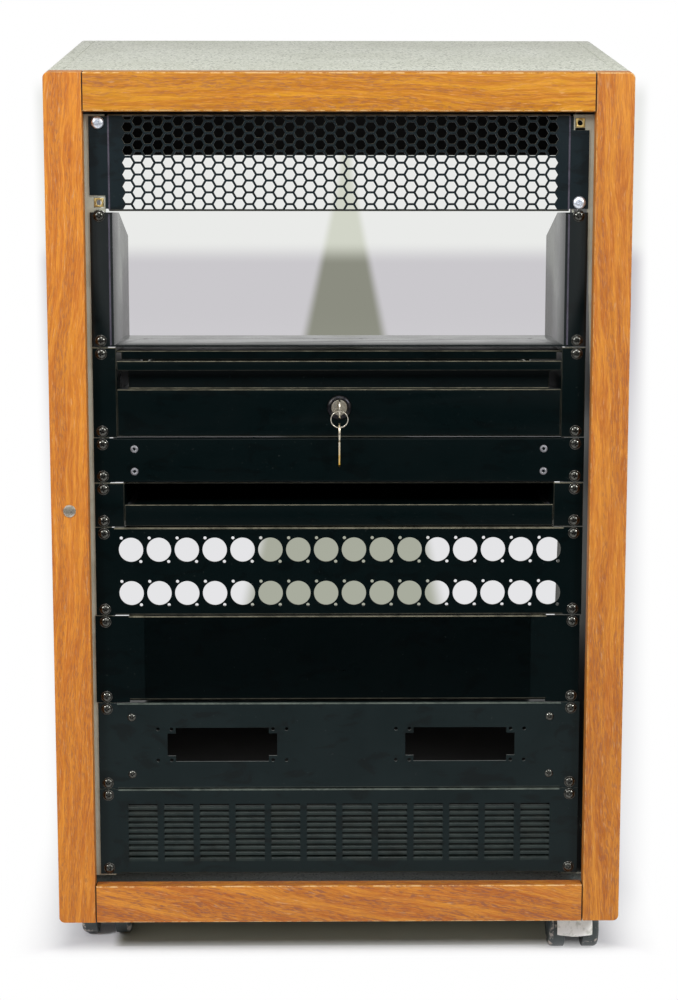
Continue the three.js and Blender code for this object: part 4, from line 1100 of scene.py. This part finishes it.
def hood_shell(bm):
    """The hood's shell, drawn about the axle: its front lip dips to a point in the middle."""
    inner, outer, half = mm(27.2, 29.6, 18)
    seam, roll, roll_from = 0.35 * MM, 0.9 * MM, 0.86
    start_angle, end_angle, dip = 12, 178, 4
    columns, steps = 16, 30
    grids = []
    for radius in (outer, inner):
        grid = []
        for i in range(columns + 1):
            u = -1 + 2 * i / columns
            side = abs(u)
            start = radians(start_angle + dip * side)
            end = radians(end_angle + dip * (1 - side))
            r = radius
            if radius == outer:
                r -= roll * max(0, (side - roll_from) / (1 - roll_from)) ** 2
                r -= seam if i == columns // 2 else 0
            angles = [start + (end - start) * k / steps for k in range(steps + 1)]
            grid.append([bm.verts.new((u * half, r * cos(a), r * sin(a))) for a in angles])
        grids.append(grid)
    top, under = grids
    skin(bm, top)
    skin(bm, under)
    for end in (0, steps):
        skin(bm, [[row[end] for row in top], [row[end] for row in under]])
    for side in (0, columns):
        skin(bm, [top[side], under[side]])


def caster_wheel(label, side, sign, axle):
    """A wheel with its tread and the rim of its outer face worn."""
    node = f"caster_{label}_wheel_{side}"
    low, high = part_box(node)
    outer_x, rim_radius = mm(12, 19)
    bm = bmesh.new()
    layer = edge_layer(bm)
    lathe(bm, WHEEL, 56, Matrix.Rotation(radians(90 * sign), 4, "Y"))
    for face in bm.faces:
        middle = face.calc_center_median()
        face[layer] = float(abs(middle.x) > outer_x and middle.yz.length > rim_radius)
    at = move(high.x if sign < 0 else low.x, axle.y, axle.z)
    piece(node + "_fine", bm, TREAD, node, body=node, matrix=at, smooth=40)


def hood_post(top):
    """The profile of the post for the swivel's stem: from the axle's level to `top`, open above."""
    post, bore, floor, ease, bevel = mm(8.6, 4.6, 8, 0.6, 1)
    return [
        (bore, top), (post - ease, top), (post, top - ease), (post, bevel / 2), (post - bevel, 0), (0, 0),
        (0, floor), (bore, floor), (bore, top),
    ]


def casters():
    web_x, web_y, web_z = (-9 * MM, 9 * MM), (2 * MM, 10 * MM), (0, 27 * MM)
    for label in ("front_left", "front_right", "rear_left", "rear_right"):
        left, right = [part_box(f"caster_{label}_wheel_{side}") for side in ("left", "right")]
        axle = (left[0] + right[1]) / 2
        stem_y = sum(corner.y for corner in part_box(f"caster_plate_{label}")) / 2
        swivelled = Matrix.Rotation(pi if axle.y > stem_y else 0, 4, "Z")
        turned = move(*axle) @ swivelled
        for side, sign in (("left", -1), ("right", 1)):
            caster_wheel(label, side, sign, axle)
        hub = bmesh.new()
        lathe(hub, HUB, 48, SIDEWAYS)
        lathe(hub, AXLE, 24, SIDEWAYS)
        piece(f"caster_hub_{label}", hub, TREAD, body=f"caster_{label}", matrix=turned)
        bm = bmesh.new()
        hood_shell(bm)
        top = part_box(f"caster_body_{label}")[1].z - axle.z
        lathe(bm, hood_post(top), 36, move(0, abs(stem_y - axle.y), 0))
        box(bm, web_x, web_y, web_z)
        body = f"caster_{label}"
        piece(f"caster_hood_{label}", bm, HOOD, f"caster_body_{label}", body=body, matrix=turned)
        dress(f"caster_plate_{label}", ZINC, bevel=0.5)


# Stage, lights and camera


def stage():
    """A white sweep: floor, curve and wall as one surface behind the stand."""
    radius, front, back, half_width, height, steps = 1.2, -6.0, 6.0, 9.0, 5.5, 16
    profile = [(front, 0.0), (back - radius, 0.0)]
    for i in range(1, steps + 1):
        a = radians(-90 + 90 * i / steps)
        profile.append((back - radius + radius * cos(a), radius + radius * sin(a)))
    profile.append((back, height))
    bm = bmesh.new()
    skin(bm, [[bm.verts.new((x, y, z)) for y, z in profile] for x in (-half_width, half_width)])
    from_bmesh("sweep", bm, stage_material(), IN_PLACE, 60)


def stage_material():
    """White near the stand where its shadow falls, and an even white further off, with a painted grey
    shadow on the floor behind the open back, and painted shade under the stand."""
    t = Tree("white_sweep")
    path = t.node("LightPath").node
    x, y, z = t.parts(t.node("TexCoord", out="Object"))
    white = (1, 1, 1, 1)
    mirrored = t.times(path.outputs["Is Glossy Ray"], t.ramp(y, -4.0, -1.0, 0.15, 1.0))
    seen = t.math("MAXIMUM", path.outputs["Is Camera Ray"], mirrored)
    ahead, fade, margin, beyond = 0.07, 0.04, -0.02, 0.06
    aside = t.minus(t.math("ABSOLUTE", x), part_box("right_side")[1].x)
    behind = t.minus(y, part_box("rear_board")[1].y)
    before = t.ramp(t.minus(FRONT_Y + ahead, y), 0.0, fade)
    beside = t.ramp(t.math("MAXIMUM", aside, behind), margin, beyond)
    far = t.times(t.math("MAXIMUM", beside, before), seen)
    # Painted shadow: the stand's soft shadow on the floor behind it, and the darker middle of it, are
    # painted into the floor's glow. Both change with the distance behind the stand, drift to the right and
    # end at the wall.
    rear = t.ramp(y, 3.4, 3.75)
    depth = t.ramp(y, 0.9, 2.9)
    widening, narrowing = 0.147, 0.03
    off_centre = t.math("ABSOLUTE", t.minus(x, t.math("MULTIPLY_ADD", y, 0.011, 0.014)))
    wide = t.ramp(t.minus(off_centre, t.times(y, widening)), 0.295, 0.345, 1, 0)
    off_middle = t.math("ABSOLUTE", t.minus(x, t.math("MULTIPLY_ADD", y, 0.0157, 0.005)))
    narrow = t.ramp(t.math("MULTIPLY_ADD", y, narrowing, off_middle), 0.155, 0.185, 1, 0)
    painted_soft_shadow = t.mix(rear, t.mix(depth, (229, 229, 231), (202, 200, 204)), (234, 235, 233))
    painted_dark_shadow = t.mix(rear, t.mix(depth, (168, 171, 157), (139, 140, 128)), (210, 213, 200))
    painted_shadow_tint = t.mix(narrow, t.mix(wide, white, painted_soft_shadow), painted_dark_shadow)
    near_floor = t.times(t.ramp(y, -0.15, -0.05), t.ramp(z, 0.2, 0.28, 1, 0))
    glow = t.node("Emission", Color=t.mix(near_floor, white, painted_shadow_tint), Strength=1.0)
    # Painted shadow: under the stand the floor's colour is darkened, as in deep shade.
    under = t.times(t.ramp(y, -0.179, -0.175), t.ramp(x, -0.238, -0.224))
    under = t.times(under, t.ramp(x, 0.22, 0.25, 1, 0))
    painted_shadow = t.mix(t.ramp(y, -0.17, -0.12), (160, 158, 148), (120, 120, 108))
    base = t.mix(under, (246, 245, 250), painted_shadow)
    t.finish(Base_Color=base, Roughness=0.9, Specular_IOR_Level=0.0)
    both = t.node("MixShader", i0=far, i1=t.shader.outputs[0], i2=glow)
    t.put(t.nodes["Material Output"].inputs["Surface"], both)
    return t.owner


def lamp(name, place, target, size, power):
    light = bpy.data.lights.new(name, "AREA")
    light.size = size
    light.energy = power
    obj = add_object(name, light)
    obj.location = place
    obj.rotation_euler = (Vector(target) - Vector(place)).to_track_quat("-Z", "Y").to_euler()


def lights():
    middle = (0, 0, 0.5)
    for name, x in (("left_key", -2.2), ("right_key", 2.2)):
        lamp(name, (x, -2.05, 2.35), middle, size=0.5, power=56)
    lamp("top", (0, -1.6, 3.0), middle, size=0.8, power=22)
    world = bpy.data.worlds.new("studio")
    SCENE.world = world
    t = Tree("studio", world)
    _, y, z = t.parts(t.node("TexCoord", out="Generated"))
    # A dim room in front that grows lighter upwards, and a white wall behind.
    front = t.mix(t.ramp(z, 0.06, 0.25), (0.02, 0.02, 0.02, 1), (0.85, 0.85, 0.85, 1))
    room = t.mix(t.ramp(y, -0.5, 0.4), front, (1, 1, 1, 1))
    colour = t.mix(t.node("LightPath", out="Is Diffuse Ray"), room, (0.22, 0.22, 0.22, 1))
    t.finish(Color=colour, Strength=1.0)


def camera():
    """The photo's camera, as fitted to the ear screws and the cabinet's corners."""
    data = bpy.data.cameras.new("camera")
    data.sensor_width = 36
    data.lens = 72.24
    data.clip_end = 50
    SCENE.camera = add_object("camera", data)
    SCENE.camera.location = (-0.02319, -2.02845, 1.09513)
    SCENE.camera.rotation_euler = [radians(angle) for angle in (71.910506, -0.12185, -0.658398)]


SCENE.view_settings.view_transform = "Standard"
camera()
stage()
lights()
oak_front()
carcass()
rack_rails()
bent_steel()
hex_vent_panel()
patch_panel()
vent_box()
connector_panel()
slotted_vent_panel()
fasteners()
stile_button()
lock()
keys()
casters()
